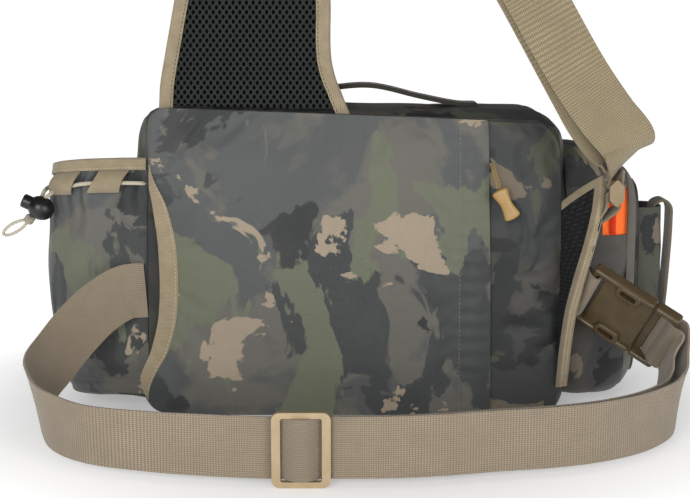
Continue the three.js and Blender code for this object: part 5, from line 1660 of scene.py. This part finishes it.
def pad_place(u, v):
    at, across, left, right = pad_frame(v)
    share = 2 * u if u < 0.5 else 2 - 2 * u
    aside = mix(-left, right, share)
    inside = clamp(min(aside + left, right - aside) / (2.2 * PAD_HEM))
    half = mix(PAD_EDGE, PAD_MIDDLE, inside * inside * (3 - 2 * inside))
    return at + across * aside + Vector((0, -half if u < 0.5 else half, 0))


pad = lay("shoulder_pad_mesh", 64, 90, pad_place, closed=True)


def under_binding(vertex):
    v = clamp((vertex.co.z / MM - PAD_ROWS[0][0]) / (PAD_ROWS[-1][0] - PAD_ROWS[0][0]))
    at, across, left, right = pad_frame(v)
    aside = (vertex.co / MM - Vector((at.x, at.y - BODY_DEPTH / 2, at.z))).dot(across)
    free = PAD_FREE[0] * MM < vertex.co.z < PAD_FREE[1] * MM
    return aside < PAD_HEM - left or aside > right - PAD_HEM or not free


settle(pad, 2.0, 0.01, 2, under_binding)
refine(pad, 2)


def mesh_hole(place):
    """How far a place is inside a hole of the mesh, in step with the finish's own pattern."""
    share = 1.0
    for hand in (1, -1):
        run = place.x * math.cos(MESH_SLANT) + hand * place.z * math.sin(MESH_SLANT)
        share *= 0.5 - 0.5 * math.cos(2 * math.pi * run / MESH_PITCH)
    return clamp((share - 0.16) / 0.36)


normals = [vertex.normal.copy() for vertex in pad.data.vertices]
for vertex, normal in zip(pad.data.vertices, normals):
    sunk = mesh_hole(vertex.co)
    if sunk and abs(normal.y) > 0.8:
        vertex.co -= normal * (MESH_DEPTH * MM * sunk)
edit(pad, fill_ends, face_outward)
dress(pad, PAD_MESH, "air_mesh", "shoulder_pad", angle=85)


def pad_tape(name, hand, node):
    def place(u, v):
        at, across, left, right = pad_frame(u)
        at = at - Vector((0, 0, 7 * clamp(1 - u / 0.05)))
        edge = at + across * (right if hand > 0 else -left)
        depth, aside = folded(PAD_HEM, PAD_SHOULDER + TAPE_ROOM, v)
        return edge - across * (hand * depth) + Vector((0, -aside * hand, 0))

    bind(name, 120, place, node, flip=True)
    line = [in_frame(place(i / 160, 0.07 if hand > 0 else 0.93)) for i in range(2, 159)]
    outward = [-INTO_DEPTH] * len(line)
    stitch_row(name + "_stitches", line, outward, pitch=3.0, long=1.8, thread=DARK_THREAD)


pad_tape("pad_tape_left", -1, "pad_binding_left")
pad_tape("pad_tape_right", 1, "pad_binding_right")

# %% [markdown]
# ## Shoulder webbing, its slider and the ring
# From the pad's tip the webbing goes over the shoulder, through a slider, down to a ring on the hip
# wing, round its bar and back up behind itself.

# %% Shoulder webbing
SHOULDER_WEB = [
    (-33.4, 1, 467.6, 0.91, 0, -0.41),
    (-29.8, 0.8, 474.9, 0.91, 0, -0.41),
    (-20, 0, 494, 0.9, 0, -0.42),
    (-9.5, -4, 512, 0.95, 0, -0.3),
    (-1.5, -15, 521.5, 0.98, 0, 0.1),
    (4, -28, 515, 0.9, 0, 0.4),
    (12, -36, 496, 0.87, 0, 0.49),
    (33, -38.5, 457, 0.866, 0, 0.5),
    (62, -39, 407, 0.866, 0, 0.5),
]
STRAP_SLIDER_AT = Vector((94, -40, 352))
SHOULDER_DOWN = [
    (123, -43, 302, 0.866, 0, 0.5),
    (153, -45, 251, 0.86, 0, 0.51),
    (172, -46, 224, 0.88, 0.05, 0.44),
    (187.6, -44.4, 204.6, 0.96, 0.2, 0.2),
    (187.6, -36, 192.5, 0.44, 0.9, 0.06),
]
SHOULDER_RETURN = [
    (178.2, -28.5, 196, 0.5, 0.86, 0.05),
    (171.5, -33, 209, 0.82, 0.48, 0.3),
    (161, -36.5, 228, 0.87, 0.1, 0.46),
    (147.5, -38, 252, 0.866, 0, 0.5),
    (120.5, -38.5, 300, 0.866, 0, 0.5),
    (106.5, -37.2, 325, 0.866, 0, 0.5),
    (96.6, -35.4, 350, 0.866, 0, 0.5),
]
RING_AT, RING_ALONG = Vector((181, -26, 171)), Vector((0.04, 1, 0)).normalized()
RING = {"length": 47, "height": 17, "bar": 5, "thick": 6, "tab": 16}
ring_side = Vector((RING_ALONG.y, -RING_ALONG.x, 0))


def pairs(rows):
    return [(Vector(row[:3]), Vector(row[3:])) for row in rows]


def ring_spot(out, up):
    return RING_AT + ring_side * out + UPRIGHT * up


strap_down, strap_flat = Vector((0.5, 0, -0.866)), Vector((0.866, 0, 0.5))
strap_run = pairs(SHOULDER_WEB)
for along, lift in weave_steps():
    strap_run.append((STRAP_SLIDER_AT + strap_down * along + Vector((0, -lift, 0)), strap_flat))
strap_run += pairs(SHOULDER_DOWN)
upper_bar = RING["height"] / 2 - RING["bar"] / 2
clear = RING["thick"] / 2 + WEB_THICK / 2 + GAP + 0.1
under = RING["bar"] / 2 + WEB_THICK / 2 + GAP + 0.3
ring_steps = [
    (clear + 1, upper_bar + 10.5), (clear + 0.3, upper_bar + 4), (clear, upper_bar),
    (clear - 0.35, upper_bar - under + 0.5), (0, upper_bar - under - 0.1),
]
ring_steps += [(-out, up) for out, up in reversed(ring_steps[:4])]
strap_run += [(ring_spot(out, up), RING_ALONG) for out, up in ring_steps]
strap_run += pairs(SHOULDER_RETURN)
strap = ribbon("shoulder_strap_webbing", strap_run, 8, WEB_WIDE, WEB_THICK)
dress(strap, STRAP_WEB, "webbing", "shoulder_webbing")
strap_slider = put(slider_plate("strap_slider_frame"), STRAP_SLIDER_AT, strap_down, strap_flat)
dress(strap_slider, PLASTIC, "plastic", "strap_slider")

# %% Ring and its tab
ring = plate("strap_ring_frame", rounded_box(RING["length"], RING["height"], 3), RING["thick"])
cut_slot(ring, 0, 0, RING["length"] - 5, RING["height"] - 2 * RING["bar"], 1.2)
deselect()
RING_END = {"radius": 9.6 * MM, "depth": 4.8 * MM, "rotation": (0, math.pi / 2, 0)}
RING_END_FLAT, RING_END_AT = 0.6, -22.6
bpy.ops.mesh.primitive_cylinder_add(vertices=6, **RING_END)
ring_end = bpy.context.object
bpy.ops.object.transform_apply()
bpy.ops.transform.resize(value=(1, 1, RING_END_FLAT))
shift(ring_end, RING_END_AT, 0, 0)
combine(ring, ring_end, "UNION")
round_edges(ring, 0.9, 4)
put(ring, RING_AT, RING_ALONG, UPRIGHT)
dress(ring, RING_PLASTIC, "plastic", "strap_ring")
tab_clear = RING["thick"] / 2 + WEB_THICK / 2 + GAP
lower_bar = RING["bar"] / 2 - RING["height"] / 2
above = RING["bar"] / 2 + WEB_THICK / 2 + GAP + 0.3
wing_way = Vector((-0.5, 0.86, 0))
tab_round = [
    (-tab_clear - 0.3, lower_bar - 6), (-tab_clear, lower_bar), (0.25 - tab_clear, lower_bar + above - 0.5),
    (0, lower_bar + above + 0.1), (tab_clear - 0.25, lower_bar + above - 0.5), (tab_clear, lower_bar),
    (tab_clear + 0.2, lower_bar - 6),
]
ring_tab_run = [(Vector((165.3, -13.7, 143.4)), wing_way)]
ring_tab_run += [(ring_spot(out, up), RING_ALONG) for out, up in tab_round]
ring_tab_run.append((Vector((167.3, -12.2, 143.4)), wing_way))
ring_tab = ribbon("ring_tab_webbing", ring_tab_run, 8, RING["tab"], WEB_THICK)
dress(ring_tab, STRAP_WEB, "webbing", "ring_tab")

# %% [markdown]
# ## Floor and light
# The photograph is a cut-out on white, lit softly by bright walls, with the strongest light from
# the left in front and a dimmer ceiling. A pale floor that glows away from the bag, a sky that is
# white at the horizon and darker above, and two broad area lights do the same: a key light from the
# left in front and a weaker fill light from the right.

# %% Stage
deselect()
bpy.ops.mesh.primitive_plane_add(size=120, location=(0, 0, -0.0004))
floor = bpy.context.object
floor.name = "floor"
paper = Finish("pale_floor", 0.9, specular=0.1)
tone = paper.grain(paper.mapped("Object"), 3, detail=2)
paper.colour(paper.blend(paper.between(tone, 0.3, 0.7), (0.78, 0.78, 0.78), (0.82, 0.82, 0.82)))
away = paper.node("ShaderNodeVectorMath", {0: paper.mapped("Object")}, operation="LENGTH").outputs["Value"]
paper.shader.inputs["Emission Color"].default_value = (1, 1, 1, 1)
paper.tree.links.new(paper.between(away, 0.2, 0.38, 0.32, 0.93), paper.shader.inputs["Emission Strength"])
floor.data.materials.append(paper.material)

world = bpy.data.worlds.new("studio")
bpy.context.scene.world = world
world.use_nodes = True
sky = world.node_tree
wall_side = sky.nodes.new("ShaderNodeTexCoord")
height = sky.nodes.new("ShaderNodeSeparateXYZ")
ramp = sky.nodes.new("ShaderNodeMapRange")
SKY_RAMP = {"From Min": 0.02, "From Max": 0.12, "To Min": 1.0, "To Max": 0.14}
for name, value in SKY_RAMP.items():
    ramp.inputs[name].default_value = value
sky.links.new(wall_side.outputs["Generated"], height.inputs["Vector"])
sky.links.new(height.outputs["Z"], ramp.inputs["Value"])
sky.links.new(ramp.outputs["Result"], sky.nodes["Background"].inputs["Strength"])
sky.nodes["Background"].inputs["Color"].default_value = (1, 1, 1, 1)


def softbox(name, place, aim, size, power, spread):
    bpy.ops.object.light_add(type="AREA", location=place)
    light = bpy.context.object
    light.name = name
    light.data.size = size
    light.data.energy = power
    light.data.spread = math.radians(spread)
    light.rotation_euler = (Vector(aim) - Vector(place)).to_track_quat("-Z", "Y").to_euler()


softbox("key_light", (-0.65, -2.1, 0.7), (-0.05, 0, 0.06), 1.2, 4.3, 60)
softbox("fill_light", (1.3, -1.9, 0.4), (-0.25, 0, 0.05), 1.0, 3.2, 70)
bpy.context.scene.view_settings.view_transform = "Standard"
